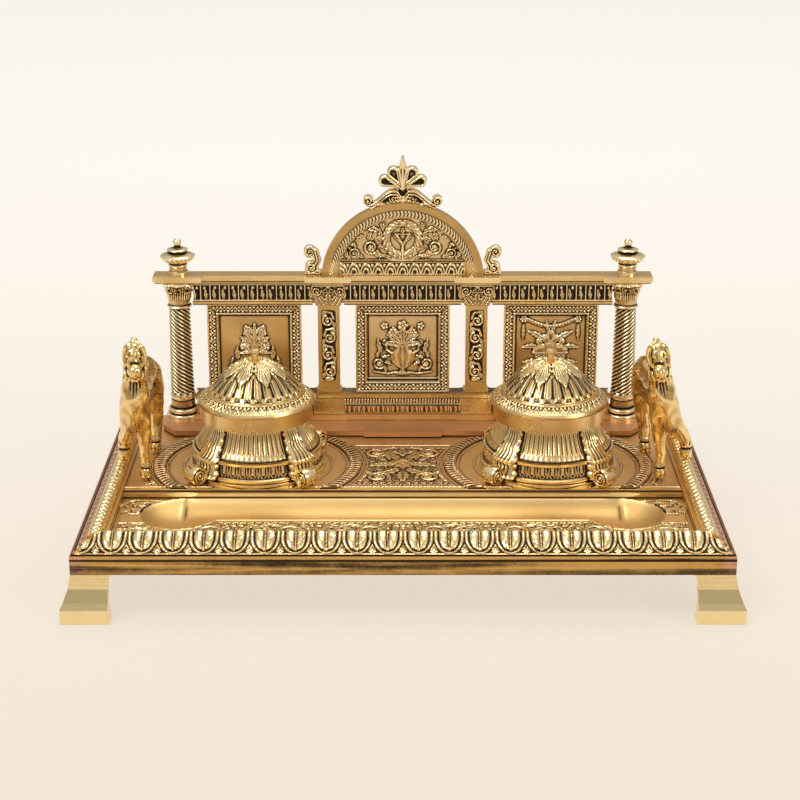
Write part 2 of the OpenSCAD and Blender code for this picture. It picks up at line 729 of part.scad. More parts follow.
module lid() {
    color(bright_gold) difference() {
        union() {
            lid_shell();
            dome_foliage();
            knuckle(0, lid_knuckle_w, lid_band_r - lid_t / 2, hinge_z - 0.9, hinge_z + 1.4);
        }
        translate([-hinge_run, hinge_run, hinge_z]) rotate([0, 90, 0])
            cylinder(h = 2 * hinge_run, r = pin_r + pin_gap);
        translate([0, 0, dome_top_z - 5]) cylinder(h = 10, r = knob_spigot_r);
    }
}

module lid_knob() {
    color(bright_gold) {
        rotate_extrude($fn = 48) polygon([[0, dome_top_z - 1.15 * lid_t], [knob_spigot_r, dome_top_z - 1.15 * lid_t],
            [knob_spigot_r, dome_top_z], [knob_cap_r, dome_top_z], [knob_stem_r, dome_top_z + 0.8],
            [knob_stem_r, dome_top_z + knob_h - 3], [knob_cap_r, dome_top_z + knob_h - 2],
            [knob_cap_r, dome_top_z + knob_h - 0.8], [knob_cap_r - 1, dome_top_z + knob_h],
            [0, dome_top_z + knob_h]]);
    }
}

module hinge_pin() {
    reach = well_knuckle_x + well_knuckle_w / 2;
    color(steel) translate([-reach, hinge_run, hinge_z]) rotate([0, 90, 0])
        cylinder(h = 2 * reach, r = pin_r);
}

// ---------- gallery ----------

// Bottom rail between the columns, with a pedestal for each pilaster
module gallery_rail() {
    half = col_x - col_base_r / 2;
    color(gold) difference() {
        union() {
            block(0, rail_front, step_z, 2 * half, rail_d, rail_plinth_h);
            block(0, rail_front + 1.2, step_z, 2 * half, rail_d - 2.4, rail_h);
            block(0, rail_front + 0.4, rail_z - rail_cap_h, 2 * half, rail_d - 0.8, rail_cap_h);
            for (s = [-1, 1]) side(s) {
                block(pil_x, rail_front - pedestal_run, step_z, pedestal_w,
                    rail_d + 2 * pedestal_run, rail_plinth_h + 0.6);
                block(pil_x, rail_front, step_z, pedestal_w - 4, rail_d, rail_h - 1.6);
                block(pil_x, rail_front - 0.4, rail_z - rail_cap_h, pedestal_w - 3, rail_d + 0.8,
                    rail_cap_h);
            }
        }
        for (s = [-1, 1]) side(s) {
            translate([col_x, gal_y, 0]) cylinder(h = rail_z + 1, r = col_base_r + 0.05);
            translate([pil_x, gal_y, 0]) cylinder(h = step_z + screw_bite, r = screw_r);
        }
        // grooves for the panels
        for (x = [-side_panel_x, 0, side_panel_x])
            block(x, gal_y - tenon_t / 2, rail_z - tenon_h, panel_w - 2 * panel_frame, tenon_t,
                tenon_h + 1);
    }
}

module gallery_screws() {
    color(steel) for (s = [-1, 1], x = [pil_x, col_x]) translate([s * x, gal_y, deck_z - deck_t])
        screw(deck_t + step_h + screw_bite);
}

module column() {
    base_h = rail_h - 1.2;
    color(gold) difference() {
        rotate_extrude($fn = 64) polygon([[0, step_z], [col_base_r, step_z],
            [col_base_r, step_z + 0.18 * base_h], [col_base_r - 1.4, step_z + 0.24 * base_h],
            [col_base_r - 1.4, step_z + 0.3 * base_h], [col_base_r - 0.3, step_z + 0.34 * base_h],
            [col_base_r - 0.3, step_z + 0.44 * base_h], [shaft_bottom_r + 0.2, step_z + 0.48 * base_h],
            [shaft_bottom_r + 0.2, step_z + 0.84 * base_h], [shaft_bottom_r + 0.6, step_z + 0.88 * base_h],
            [shaft_bottom_r + 0.6, step_z + base_h], [shaft_bottom_r, rail_z],
            [shaft_top_r, capital_z - 2.6], [shaft_top_r + 1.2, capital_z - 2],
            [shaft_top_r + 1.2, capital_z - 0.8], [shaft_top_r + 0.4, capital_z],
            [shaft_top_r + 1.2, capital_z + 0.5 * capital_h],
            [col_base_r, cornice_z - 2], [col_base_r, cornice_z], [0, cornice_z]]);
        translate([0, 0, step_z - 1]) cylinder(h = screw_bite + 1, r = screw_r);
        translate([0, 0, cornice_z - screw_bite + 1]) cylinder(h = screw_bite, r = screw_r);
    }
}

module pilaster() {
    color(gold) {
        difference() {
            block(0, gal_y - pil_t / 2, rail_z, pil_w, pil_t, panel_h);
            block(0, gal_y - pil_t / 2 - 1, rail_z + 6, pil_w - 3, 2, panel_h - 9);
        }
        block(0, gal_y - pil_t / 2 - 0.6, rail_z, pil_w + 1.8, pil_t + 1.2, 2);
        // capital, let into the entablature from the front
        block(0, pil_cap_front, panel_z - eps, pil_w + 1.6, gal_y - pil_cap_front, ent_h + eps);
        block(0, pil_cap_front - 0.8, cornice_z - 3, pil_cap_w, gal_y - pil_cap_front + 0.8, 3);
        block(0, pil_cap_front - 0.4, cornice_z - 7, pil_cap_w - 1.8, gal_y - pil_cap_front + 0.4, 4);
    }
}

// Panel with a raised leaf frame; the plaque inside it is sunk
module panel() {
    color(gold) {
        difference() {
            block(0, panel_front_y, rail_z, panel_w, panel_t, panel_h);
            block(0, panel_front_y - 1, rail_z + panel_frame, panel_w - 2 * panel_frame,
                1 + panel_recess, panel_h - 2 * panel_frame);
        }
        block(0, gal_y - tenon_t / 2, rail_z - tenon_h, panel_w - 2 * panel_frame, tenon_t,
            tenon_h + eps);
        // raised frieze of the plaque
        block(0, panel_front_y + panel_recess - 0.7, rail_z + 0.3 * panel_h, 0.42 * panel_w, 0.8,
            0.4 * panel_h);
    }
}

module entablature() {
    half = col_x - col_base_r + 1.4;
    lip = 1.2;
    color(gold) difference() {
        union() {
            block(0, ent_front + 0.8, panel_z, 2 * half, ent_d - 0.8, ent_h);
            block(0, ent_front, panel_z, 2 * half, ent_d, 2.2);
            block(0, ent_front, cornice_z - lip, 2 * half, ent_d, lip);
        }
        for (s = [-1, 1]) side(s) {
            block(pil_x, ent_front - 5, panel_z - 1, pil_cap_w, gal_y - ent_front + 5, ent_h + 2);
            translate([col_x, gal_y, panel_z - 1]) cylinder(h = ent_h + 2, r = col_base_r + 0.05);
        }
    }
}

module cornice() {
    fillet = 1.1;
    col_ressaut = 2 * (cornice_w / 2 - col_x);
    color(gold) difference() {
        union() {
            block(0, gal_y - cornice_d / 2 + 0.8, cornice_z, cornice_w - 2, cornice_d - 1.6, fillet);
            block(0, gal_y - cornice_d / 2, cornice_z + fillet, cornice_w, cornice_d, cornice_t - fillet);
            for (s = [-1, 1]) side(s) {
                for (r = [[col_x, col_ressaut], [pil_x, pedestal_w + 5]])
                    block(r[0], gal_y - cornice_d / 2 - cornice_run, cornice_z + fillet, r[1],
                        cornice_d / 2 + cornice_run, cornice_t - fillet);
                for (r = [[col_x, col_ressaut - 2], [pil_x, pedestal_w + 3]])
                    block(r[0], gal_y - cornice_d / 2 - cornice_run + 0.8, cornice_z, r[1],
                        cornice_d / 2 + cornice_run, fillet);
            }
        }
        for (s = [-1, 1]) translate([s * col_x, gal_y, cornice_z - 1])
            cylinder(h = cornice_t + 2, r = screw_r + screw_gap);
        // mortise for the pediment's foot
        block(0, gal_y - tenon_t / 2, top_z - tenon_h, ped_r, tenon_t, tenon_h + 1);
    }
}

module arch(r, y, d) {
    translate([0, y + d, ped_z]) rotate([90, 0, 0]) cylinder(h = d, r = r, $fn = 128);
}

module pediment() {
    face = ped_front + 2;
    color(gold) difference() {
        union() {
            intersection() {
                difference() {
                    arch(ped_r, ped_front, ped_t);
                    arch(ped_r - ped_rim_w, ped_front - 1, 2);
                    arch(ped_r - ped_rim_w - ped_band_w, ped_front - 1, 3);
                }
                translate([-ped_r - 1, ped_front - 1, top_z])
                    cube([2 * ped_r + 2, ped_t + 2, ped_r + 5]);
            }
            intersection() {
                block(0, ped_front + 0.6, top_z, 2 * ped_r, face - ped_front + 1, ped_foot_h);
                arch(ped_r - 0.5, ped_front, ped_t);
            }
            block(0, gal_y - tenon_t / 2, top_z - tenon_h, ped_r, tenon_t, tenon_h + eps);
        }
        // hole for the crest's dowel
        translate([0, gal_y, ped_top_z - screw_bite]) cylinder(h = screw_bite + 1, r = screw_r);
    }
}

// Palmette of five lobes on a bracket with two volutes
palmette_z = ped_top_z + 0.36 * crest_h;
lobe_len = crest_h + ped_top_z - palmette_z;

module crest_outline() {
    for (a = [-74, -38, 0, 38, 74]) rotate(-a) {
        reach = a == 0 ? lobe_len : lobe_len - (lobe_len - palmette_r) * sqrt(abs(a) / 74);
        translate([0, reach - 3.2]) circle(r = 3.2, $fn = 24);
        polygon([[-1, 0], [1, 0], [3.1, reach - 3.9], [-3.1, reach - 3.9]]);
    }
    circle(r = 3.4, $fn = 24);
}

module bracket_outline() {
    bend_z = ped_z + sqrt(pow(ped_r, 2) - pow(crest_volute_x, 2)) + crest_volute_r;
    for (s = [-1, 1]) {
        translate([s * crest_volute_x, bend_z + 1]) circle(r = crest_volute_r, $fn = 32);
        polygon([[s * crest_volute_x, bend_z - crest_volute_r + 2.2],
            [s * crest_volute_x, bend_z + crest_volute_r - 1],
            [s * 7, palmette_z - 2.4], [0, palmette_z + 0.5], [0, ped_top_z - 1]]);
    }
}

module crest() {
    color(gold) {
        difference() {
            translate([0, gal_y + crest_t / 2, 0]) rotate([90, 0, 0]) linear_extrude(crest_t) {
                translate([0, palmette_z]) crest_outline();
                bracket_outline();
            }
            arch(ped_r, gal_y - crest_t, 2 * crest_t);
        }
        translate([0, gal_y, ped_top_z - screw_bite + 1]) cylinder(h = screw_bite, r = screw_r);
    }
}

// S-scroll beside the pediment's foot
module side_scroll() {
    foot_x = sqrt(pow(ped_r, 2) - pow(top_z - ped_z + scroll_r, 2));
    x0 = foot_x + scroll_r + 0.6;
    color(gold) difference() {
        translate([0, gal_y + crest_t / 2, 0]) rotate([90, 0, 0]) linear_extrude(crest_t) {
            translate([x0, top_z + scroll_r]) circle(r = scroll_r, $fn = 40);
            translate([x0 - scroll_r + 0.4, top_z]) square([2 * scroll_r - 0.8, scroll_r]);
            polygon([[x0 - scroll_r, top_z + scroll_r], [x0 + scroll_r, top_z + scroll_r],
                [x0 + 1.2, top_z + scroll_h - 4], [x0 - 3.4, top_z + scroll_h - 3]]);
            translate([x0 - 0.6, top_z + scroll_h - 3]) circle(r = 3, $fn = 32);
        }
        arch(ped_r + 0.05, gal_y - crest_t, 2 * crest_t);
    }
}

module finial() {
    z = top_z;
    color(gold) {
        rotate_extrude($fn = 64) polygon([[0, z], [finial_foot_r, z], [finial_foot_r, z + 1.6],
            [finial_foot_r - 0.8, z + 0.13 * finial_h], [finial_foot_r - 0.8, z + 0.26 * finial_h],
            [finial_bowl_r - 1.6, z + 0.36 * finial_h], [finial_bowl_r, z + 0.46 * finial_h],
            [finial_bowl_r, z + 0.5 * finial_h], [0.5 * finial_bowl_r, z + 0.56 * finial_h],
            [0.42 * finial_bowl_r, z + 0.59 * finial_h], [0.62 * finial_bowl_r, z + 0.63 * finial_h],
            [0.6 * finial_bowl_r, z + 0.67 * finial_h], [1.6, z + 0.75 * finial_h],
            [finial_ball_r * 0.8, z + 0.8 * finial_h], [finial_ball_r, z + 0.86 * finial_h],
            [finial_ball_r * 0.75, z + 0.92 * finial_h], [0.6, z + 0.96 * finial_h],
            [0, z + finial_h]]);
        translate([0, 0, cornice_z - screw_bite + 2]) cylinder(h = cornice_t + screw_bite - 1, r = screw_r);
    }
}

// ---------- goats ----------

// The goat stands on the deck with its inner hooves and on the rope bead with
// its outer ones. Its frame: x outwards from the inner front hoof, y back, z up
// from the deck. Sizes follow the height over the head.
goat_x = tray_w / 2 - goat_side_inset;
goat_y = rear_y - goat_inset;
drawn_h = 78.5;
g = goat_h / drawn_h;
// The rope bead and its top as the goat's frame has them
rope_dx = (goat_side_inset - rope_inset) / g;
bead_h = (border_h - 0.4) / g;
goat_screw_r = 0.8 * screw_r;
goat_screw_bite = 0.57 * screw_bite;
goat_body = [[[3.5, 34, 46], 7.6], [[3.8, 24, 45.5], 7.4], [[4.2, 12, 44.5], 7.6], [[4, 2, 44], 6.8]];
goat_neck = [[[3.8, 1, 46], 6.6], [[3, -3, 56], 5.4], [[2, -6, 66], 4.6]];
goat_head = [[[2, -6, 71], 4.8], [[1.4, -11.5, 66.5], 3.7], [[1, -15, 63.5], 3.2]];
goat_crest = [[[2, -5.5, 72], 3.4], [[2, -4.4, 76.3], 2.2]];
goat_beard = [[[1.6, -9, 61], 3.4], [[2, -6.5, 55.5], 2.8]];
goat_ears = [[[5.4, -4.5, 72], 1.7], [[5.8, -2.6, 65], 1.8], [[4.8, -5.4, 60], 1.6]];
goat_ears_in = [[[-1.4, -4.5, 72], 1.7], [[-2, -2.6, 65], 1.8], [[-0.8, -5.4, 60], 1.6]];
goat_leg_in = [[[0.6, 1, 40], 4.4], [[0.2, 0.6, 24], 2.9], [[0, 0.2, 9], 2.2], [[0, -0.6, 3.4], 2.9]];
goat_hind_in = [[[-0.6, 34, 42], 5.4], [[-1, 40, 21], 2.8], [[-0.8, 36.5, 8], 2.3], [[-0.8, 35.6, 3.4], 2.9]];
goat_leg_out = [[[7.6, 2, 40], 4.2], [[11.4, 6, 26], 3], [[rope_dx, 9.5, 15 + bead_h - 6], 2.4],
    [[rope_dx, 9, 3 + bead_h], 2.9]];
goat_hind_out = [[[7.6, 34, 42], 5.4], [[11, 40, 24], 3], [[rope_dx, 38, 16 + bead_h - 6], 2.4],
    [[rope_dx, 37.5, 3 + bead_h], 2.9]];
goat_tail = [[[3.5, 40.5, 49], 2], [[3.5, 43.6, 41], 1.6]];
goat_screw_points = g * [[0, -0.4], [-0.8, 35.8]];
// Where the rump ends and the outer hooves begin
goat_reach = 60 * g;
goat_split = 9 * g;

// A goat leans from its ankles up, so that its hooves stay where they stand
ankle_h = 14;
function leant(p, lean) = [p[0] - lean * max(0, p[2] - ankle_h), p[1], p[2]];

module limb(joints, lean) {
    for (i = [0:len(joints) - 2]) hull() {
        translate(leant(joints[i][0], lean)) sphere(r = joints[i][1], $fn = 14);
        translate(leant(joints[i + 1][0], lean)) sphere(r = joints[i + 1][1], $fn = 14);
    }
}

module place_goat(s) {
    turn = s > 0 ? goat_turn_right : goat_turn_left;
    translate([goat_x, goat_y, deck_z]) rotate([0, 0, turn]) children();
}

module goat(s) {
    place_goat(s) color(bright_gold) difference() {
        scale(g) union() {
            for (l = [goat_body, goat_neck, goat_head, goat_crest, goat_beard, goat_ears,
                    goat_ears_in, goat_leg_in, goat_hind_in, goat_leg_out, goat_hind_out, goat_tail])
                limb(l, s > 0 ? goat_lean_right : goat_lean_left);
        }
        // flat soles
        translate([-goat_split, -goat_reach, -goat_split]) cube([2 * goat_split, 2 * goat_reach, goat_split]);
        translate([goat_split, -goat_reach, -goat_split])
            cube([2 * goat_split, 2 * goat_reach, goat_split + g * (bead_h - 0.6)]);
        for (p = goat_screw_points) translate([p[0], p[1], -1])
            cylinder(h = goat_screw_bite + 1, r = goat_screw_r, $fn = 32);
    }
}

module goat_screws() {
    color(steel) for (s = [-1, 1]) side(s) place_goat(s) for (p = goat_screw_points)
        translate([p[0], p[1], -deck_t]) {
            cylinder(h = deck_t + goat_screw_bite, r = goat_screw_r);
            translate([0, 0, -screw_head_h]) cylinder(h = screw_head_h, r = 2 * goat_screw_r);
        }
}

base_tray();
place_foot(-1, -1);  // foot_front_left
place_foot(1, -1);  // foot_front_right
place_foot(-1, 1);  // foot_rear_left
place_foot(1, 1);  // foot_rear_right
foot_screws();
place_well(-1) inkwell();  // inkwell_left
place_well(1) inkwell();  // inkwell_right
place_well(-1) ink_pot();  // ink_pot_left
place_well(1) ink_pot();  // ink_pot_right
inkwell_screws();
place_well(-1) lid();  // lid_left
place_well(1) lid();  // lid_right
place_well(-1) lid_knob();  // lid_knob_left
place_well(1) lid_knob();  // lid_knob_right
place_well(-1) hinge_pin();  // hinge_pin_left
place_well(1) hinge_pin();  // hinge_pin_right
gallery_rail();
gallery_screws();
translate([-col_x, gal_y, 0]) column();  // column_left
translate([col_x, gal_y, 0]) column();  // column_right
translate([-pil_x, 0, 0]) pilaster();  // pilaster_left
translate([pil_x, 0, 0]) pilaster();  // pilaster_right
translate([-side_panel_x, 0, 0]) panel();  // panel_left
panel();  // panel_centre
translate([side_panel_x, 0, 0]) panel();  // panel_right
entablature();
cornice();
pediment();
crest();
mirror([1, 0, 0]) side_scroll();  // side_scroll_left
side_scroll();  // side_scroll_right
translate([-col_x, gal_y, 0]) finial();  // finial_left
translate([col_x, gal_y, 0]) finial();  // finial_right
mirror([1, 0, 0]) goat(-1);  // goat_left
goat(1);  // goat_right
goat_screws();
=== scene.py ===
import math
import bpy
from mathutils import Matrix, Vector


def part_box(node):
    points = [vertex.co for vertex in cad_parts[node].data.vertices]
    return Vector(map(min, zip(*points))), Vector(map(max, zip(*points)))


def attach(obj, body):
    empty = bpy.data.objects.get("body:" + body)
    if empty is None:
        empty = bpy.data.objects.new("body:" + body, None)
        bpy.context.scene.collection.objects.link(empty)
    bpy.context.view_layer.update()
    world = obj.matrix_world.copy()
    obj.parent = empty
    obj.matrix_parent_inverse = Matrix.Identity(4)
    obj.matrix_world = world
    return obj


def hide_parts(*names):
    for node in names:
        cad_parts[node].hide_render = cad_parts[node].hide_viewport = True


bl_info = {
    "name": "Desk Inkstand",
    "version": (1, 0, 0),
    "blender": (4, 5, 0),
    "location": "3D View > Sidebar > Inkstand",
    "description": "Footed brass inkstand with two lidded wells, a pair of goats and a columned gallery",
    "category": "Object",
}

import bpy
import numpy as np
from bpy.props import FloatProperty, FloatVectorProperty, PointerProperty
from mathutils import Vector
from numpy import arctan2, clip, cos, degrees, hypot, interp, maximum, minimum, sin, sqrt, stack, where

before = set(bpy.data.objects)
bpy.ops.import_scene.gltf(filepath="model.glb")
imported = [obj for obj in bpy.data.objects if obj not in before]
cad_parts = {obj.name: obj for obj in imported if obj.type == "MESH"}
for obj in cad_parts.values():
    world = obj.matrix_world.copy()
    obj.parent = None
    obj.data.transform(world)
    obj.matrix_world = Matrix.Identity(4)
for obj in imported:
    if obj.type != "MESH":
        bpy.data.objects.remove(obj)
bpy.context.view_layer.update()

# Shapes are worked out in millimetres, and their meshes are written in metres.
MM = 0.001
X, Y, Z = 0, 1, 2
TAU = 2 * math.pi
# Points closer than this are one, in millimetres
WELD = 0.004
SIDES = (("left", -1), ("right", 1))


def metres(*lengths):
    """Lengths in millimetres, turned into metres."""
    return tuple(length * MM for length in lengths)


def low(node, axis):
    """Lowest coordinate of a node of the frame, in millimetres."""
    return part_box(node)[0][axis] / MM


def high(node, axis):
    """Highest coordinate of a node of the frame, in millimetres."""
    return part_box(node)[1][axis] / MM


def middle(node, axis):
    return (low(node, axis) + high(node, axis)) / 2


# Levels and places, read from the frame
TRAY_X = high("base_tray", X)
TRAY_FRONT = low("base_tray", Y)
TRAY_REAR = high("base_tray", Y)
DECK_Z = low("inkwell_left", Z)
STEP_Z = low("gallery_rail", Z)
RAIL_Z = low("pilaster_right", Z)
PANEL_TOP = high("panel_centre", Z)
CORNICE_Z = low("cornice", Z)
TOP_Z = high("cornice", Z)
PED_TOP = high("pediment", Z)
PED_R = (high("pediment", X) ** 2 + (PED_TOP - TOP_Z) ** 2) / (2 * (PED_TOP - TOP_Z))
PED_Z = PED_TOP - PED_R
CREST_TOP = high("crest", Z)
GALLERY_Y = middle("panel_centre", Y)
PANEL_FRONT = low("panel_centre", Y)
PANEL_W = high("panel_centre", X) - low("panel_centre", X)
COLUMN_X = middle("column_right", X)
PILASTER_X = middle("pilaster_right", X)
SIDE_PANEL_X = middle("panel_right", X)
WELL_X = middle("lid_knob_right", X)
WELL_Y = middle("lid_knob_right", Y)
POT_TOP = high("ink_pot_right", Z)

# Sizes of the tray's borders, rings and pen panel
RING_IN, RING_OUT = 46.6, 53.4
BORDER_RUN = 14.5
BORDER_H = high("base_tray", Z) - DECK_Z
ROPE_R = 2.4
ROPE_INSET = 10
PEN_Z = DECK_Z - 2.5
PEN_HALF = TRAY_X - BORDER_RUN
PEN_FRONT = TRAY_FRONT + BORDER_RUN
LEDGE_Y = -14
DECK_FRONT = -12
LEDGE_FRONT = -19
TROUGH_END_X = 108
TROUGH_END_R = 18.5
TROUGH_MID_R = 13
TROUGH_DEEP = 6
STEP_FRONT = 60


# ---------- settings ----------


class InkstandSizes(bpy.types.PropertyGroup):
    """Depths and pitches of the carving"""

    leaf_pitch: FloatProperty(name="Leaf pitch", description="Spacing of the leaves on the front border",
        default=14.07 * MM, unit="LENGTH")
    leaf_depth: FloatProperty(name="Leaf depth", description="Height of the border leaves over their ground",
        default=1.0 * MM, unit="LENGTH")
    flute_pitch: FloatProperty(name="Flute pitch",
        description="Spacing of the upright flutes on the entablature", default=5.0 * MM, unit="LENGTH")
    carving_depth: FloatProperty(name="Carving depth", description="Height of the foliage over its ground",
        default=0.9 * MM, unit="LENGTH")


class InkstandFinish(bpy.types.PropertyGroup):
    """Colours of the metal and of the studio"""

    bright: FloatVectorProperty(name="Worn brass",
        description="Colour of the brass where hands and cloth polish it", subtype="COLOR", size=4, min=0,
        max=1, default=(0.97, 0.78, 0.43, 1))
    mid: FloatVectorProperty(name="Brass", description="Colour of the brass at rest", subtype="COLOR", size=4,
        min=0, max=1, default=(0.7, 0.45, 0.17, 1))
    dark: FloatVectorProperty(name="Patina", description="Colour of the patina in the recesses",
        subtype="COLOR", size=4, min=0, max=1, default=(0.03, 0.015, 0.007, 1))
    copper: FloatVectorProperty(name="Copper flush", description="Redder brass on the tops and outer slopes",
        subtype="COLOR", size=4, min=0, max=1, default=(0.76, 0.42, 0.235, 1))
    floor: FloatVectorProperty(name="Floor", description="Colour of the floor", subtype="COLOR", size=4,
        min=0, max=1, default=(0.84, 0.77, 0.66, 1))


def sizes():
    return bpy.context.scene.inkstand_sizes


def finish():
    return bpy.context.scene.inkstand_finish


# Level of relief at which brass shows neither patina nor wear
RESTING = 0.46


# ---------- mesh tools ----------


def clear_selection():
    if bpy.context.mode != "OBJECT":
        mode("OBJECT")
    bpy.ops.object.select_all(action="DESELECT")


def named(name):
    """Names the object that was just added, and gives it back."""
    obj = bpy.context.object
    obj.name = obj.data.name = name
    return obj


def points_of(obj):
    flat = np.empty(len(obj.data.vertices) * 3)
    obj.data.vertices.foreach_get("co", flat)
    return flat.reshape(-1, 3) / MM


def set_points(obj, points):
    obj.data.vertices.foreach_set("co", (np.asarray(points, float) * MM).ravel())
    obj.data.update()


def select_only(*parts):
    clear_selection()
    for part in parts:
        part.select_set(True)
    bpy.context.view_layer.objects.active = parts[0]


def mode(name):
    bpy.ops.object.mode_set(mode=name)


def pick(action):
    bpy.ops.mesh.select_all(action=action)


def pick_open_edge():
    """Selects nothing but the edges with a face on one side only."""
    pick("DESELECT")
    bpy.ops.mesh.select_non_manifold(extend=False)


def in_edit(obj, *steps):
    """Runs edit-mode steps on the whole of one object."""
    select_only(obj)
    mode("EDIT")
    pick("SELECT")
    for step in steps:
        step()
    mode("OBJECT")


def face_outwards():
    pick("SELECT")
    bpy.ops.mesh.normals_make_consistent(inside=False)


def weld():
    bpy.ops.mesh.remove_doubles(threshold=WELD * MM)


def cap_open_edge(back=None):
    """Closes an open edge with one face, after drawing it back where that is given, in millimetres."""
    bpy.ops.mesh.select_mode(type="EDGE")
    pick_open_edge()
    if back:
        bpy.ops.mesh.extrude_region_move(TRANSFORM_OT_translate={"value": Vector(back) * MM})
    bpy.ops.mesh.edge_face_add()
    face_outwards()


def apply_modifiers(obj):
    select_only(obj)
    for modifier in list(obj.modifiers):
        bpy.ops.object.modifier_apply(modifier=modifier.name)


def bevelled(obj, width, segments=2):
    bevel = obj.modifiers.new("edge", "BEVEL")
    bevel.width, bevel.segments = width * MM, segments
    apply_modifiers(obj)
    return obj


def joined(name, parts):
    select_only(*parts)
    bpy.ops.object.join()
    return named(name)


def copied(obj, name, move):
    """A copy with its own mesh, its points moved by move(points)."""
    twin = obj.copy()
    twin.data = obj.data.copy()
    twin.name = twin.data.name = name
    bpy.context.scene.collection.objects.link(twin)
    set_points(twin, move(points_of(twin)))
    return twin


def mirrored(obj, name):
    """The same piece on the other side of the stand."""
    twin = copied(obj, name, lambda p: p * (-1, 1, 1))
    in_edit(twin, bpy.ops.mesh.flip_normals)
    return twin


def carved(name, across, along, surface, back=None):
    """A grid whose corners go to surface(u, v), with u and v from 0 to 1, closed behind by back."""
    clear_selection()
    bpy.ops.mesh.primitive_grid_add(x_subdivisions=across, y_subdivisions=along, size=1)
    obj = named(name)
    flat = points_of(obj) * MM + 0.5
    set_points(obj, surface(flat[:, 0], flat[:, 1]))
    if back:
        close_back(obj, back)
    return obj


def close_back(obj, back):
    """Draws a sheet's open edge back, in millimetres, and closes it with one face."""
    in_edit(obj, lambda: cap_open_edge(back))


def turned(name, outline, steps):
    """A turned piece: a ring of points drawn to its outline of (radius, height), and spun."""
    clear_selection()
    bpy.ops.mesh.primitive_circle_add(vertices=len(outline), radius=1)
    obj = named(name)
    set_points(obj, [(r, 0, z) for r, z in outline])
    in_edit(obj, lambda: bpy.ops.mesh.spin(steps=steps, angle=TAU, center=(0, 0, 0), axis=(0, 0, 1)),
        lambda: pick("SELECT"), weld, lambda: bpy.ops.mesh.dissolve_degenerate(threshold=WELD * MM),
        face_outwards)
    return obj


def about(r, z, *steps):
    """Points of an outline, each given from one place on it."""
    return [(r + dr, z + dz) for dr, dz in steps]


def swollen(points, swell):
    """Points moved away from the Z axis, in millimetres."""
    reach = hypot(points[:, X], points[:, Y])
    grown = (reach + swell) / maximum(reach, 1e-6)
    return stack([points[:, X] * grown, points[:, Y] * grown, points[:, Z]], 1)


def fine_outline(points, step):
    """An outline with more points along its straight stretches."""
    out = []
    for a, b in zip(points[:-1], points[1:]):
        a, b = np.array(a, float), np.array(b, float)
        count = max(1, round(np.linalg.norm(b - a) / step))
        out += [tuple(a + (b - a) * i / count) for i in range(count)]
    return out + [tuple(points[-1])]


def edge_ends(mesh):
    ends = np.empty(len(mesh.edges) * 2, np.int64)
    mesh.edges.foreach_get("vertices", ends)
    return ends.reshape(-1, 2).T


def normals_of(mesh):
    flat = np.empty(len(mesh.vertices) * 3)
    mesh.vertex_normals.foreach_get("vector", flat)
    return flat.reshape(-1, 3)


def softened(points, a, b, passes):
    """Points drawn towards the middle of their neighbours, again and again."""
    count = len(points)
    links = maximum(np.bincount(a, minlength=count) + np.bincount(b, minlength=count), 1)
    soft = points.copy()
    for _ in range(passes):
        for axis in (X, Y, Z):
            column = soft[:, axis]
            total = np.bincount(a, column[b], count) + np.bincount(b, column[a], count)
            soft[:, axis] = 0.3 * column + 0.7 * total / links
    return soft


def mark_relief(obj, passes=8, full=0.16, bias=0.0, lift=None):
    """Stores how far each point stands above (1) or below (0) what lies round it.

    It adds what stands out from its near surroundings to what stands out from wider ones.
    lift(points) may add to it, as where the ground of a relief is to turn dark.
    """
    mesh = obj.data
    a, b = edge_ends(mesh)
    points = points_of(obj)
    near = softened(points, a, b, passes)
    wide = softened(near, a, b, 4 * passes)
    normals = normals_of(mesh)
    fine = ((points - near) * normals).sum(1) / full
    broad = ((near - wide) * normals).sum(1) / (1.6 * full)
    value = 0.5 + bias + 0.34 * fine + 0.34 * broad
    if lift:
        value += lift(points)
    value = clip(value, 0, 1)
    # the flat back of a casting stays unpolished
    value[points[:, Y] > points[:, Y].max() - 0.05] = RESTING
    if "relief" in mesh.attributes:
        mesh.attributes.remove(mesh.attributes["relief"])
    mesh.attributes.new("relief", "FLOAT", "POINT").data.foreach_set("value", value)


def by_height(level, top, share):
    """A lift: the ground turns darker by half the share, and what reaches the top brighter."""
    return lambda points: share * (clip(level(points) / top, 0, 1) - 0.5)


def in_front(face_y, top, share):
    """The lift of an upright relief, whose ground is face_y."""
    return by_height(lambda points: face_y - points[:, Y], top, share)


# ---------- carving motifs: heights from 0 to 1 over flat coordinates ----------


def ease(distance, width=1):
    """A soft step: 0 up to nothing, and 1 from the width."""
    t = clip(distance / width, 0, 1)
    return t * t * (3 - 2 * t)


def between(x, low_end, high_end, width, high_width=None):
    """1 between two ends, led softly to 0 at them."""
    return ease(x - low_end, width) * ease(high_end - x, high_width or width)


def round_end(t):
    """Half width of a round end: 1 up to t = 0, and 0 from t = 1."""
    return sqrt(clip(1 - clip(t, 0, 1) ** 2, 0, 1))


def rounded(distance, half):
    """A half-round ridge, 1 on its line and 0 at half away."""
    return sqrt(clip(1 - (distance / maximum(half, 1e-6)) ** 2, 0, 1))


def pearl(x, y, radius):
    """A round boss, 1 in its middle and 0 at its radius."""
    return rounded(hypot(x, y), radius)


def repeat(x, pitch):
    """Signed distance to the nearest multiple of pitch."""
    return x - pitch * np.round(x / pitch)


def local(x, y, x0, y0, angle):
    """Coordinates along and across a line that starts at (x0, y0)."""
    c, s = math.cos(angle), math.sin(angle)
    return (x - x0) * c + (y - y0) * s, -(x - x0) * s + (y - y0) * c


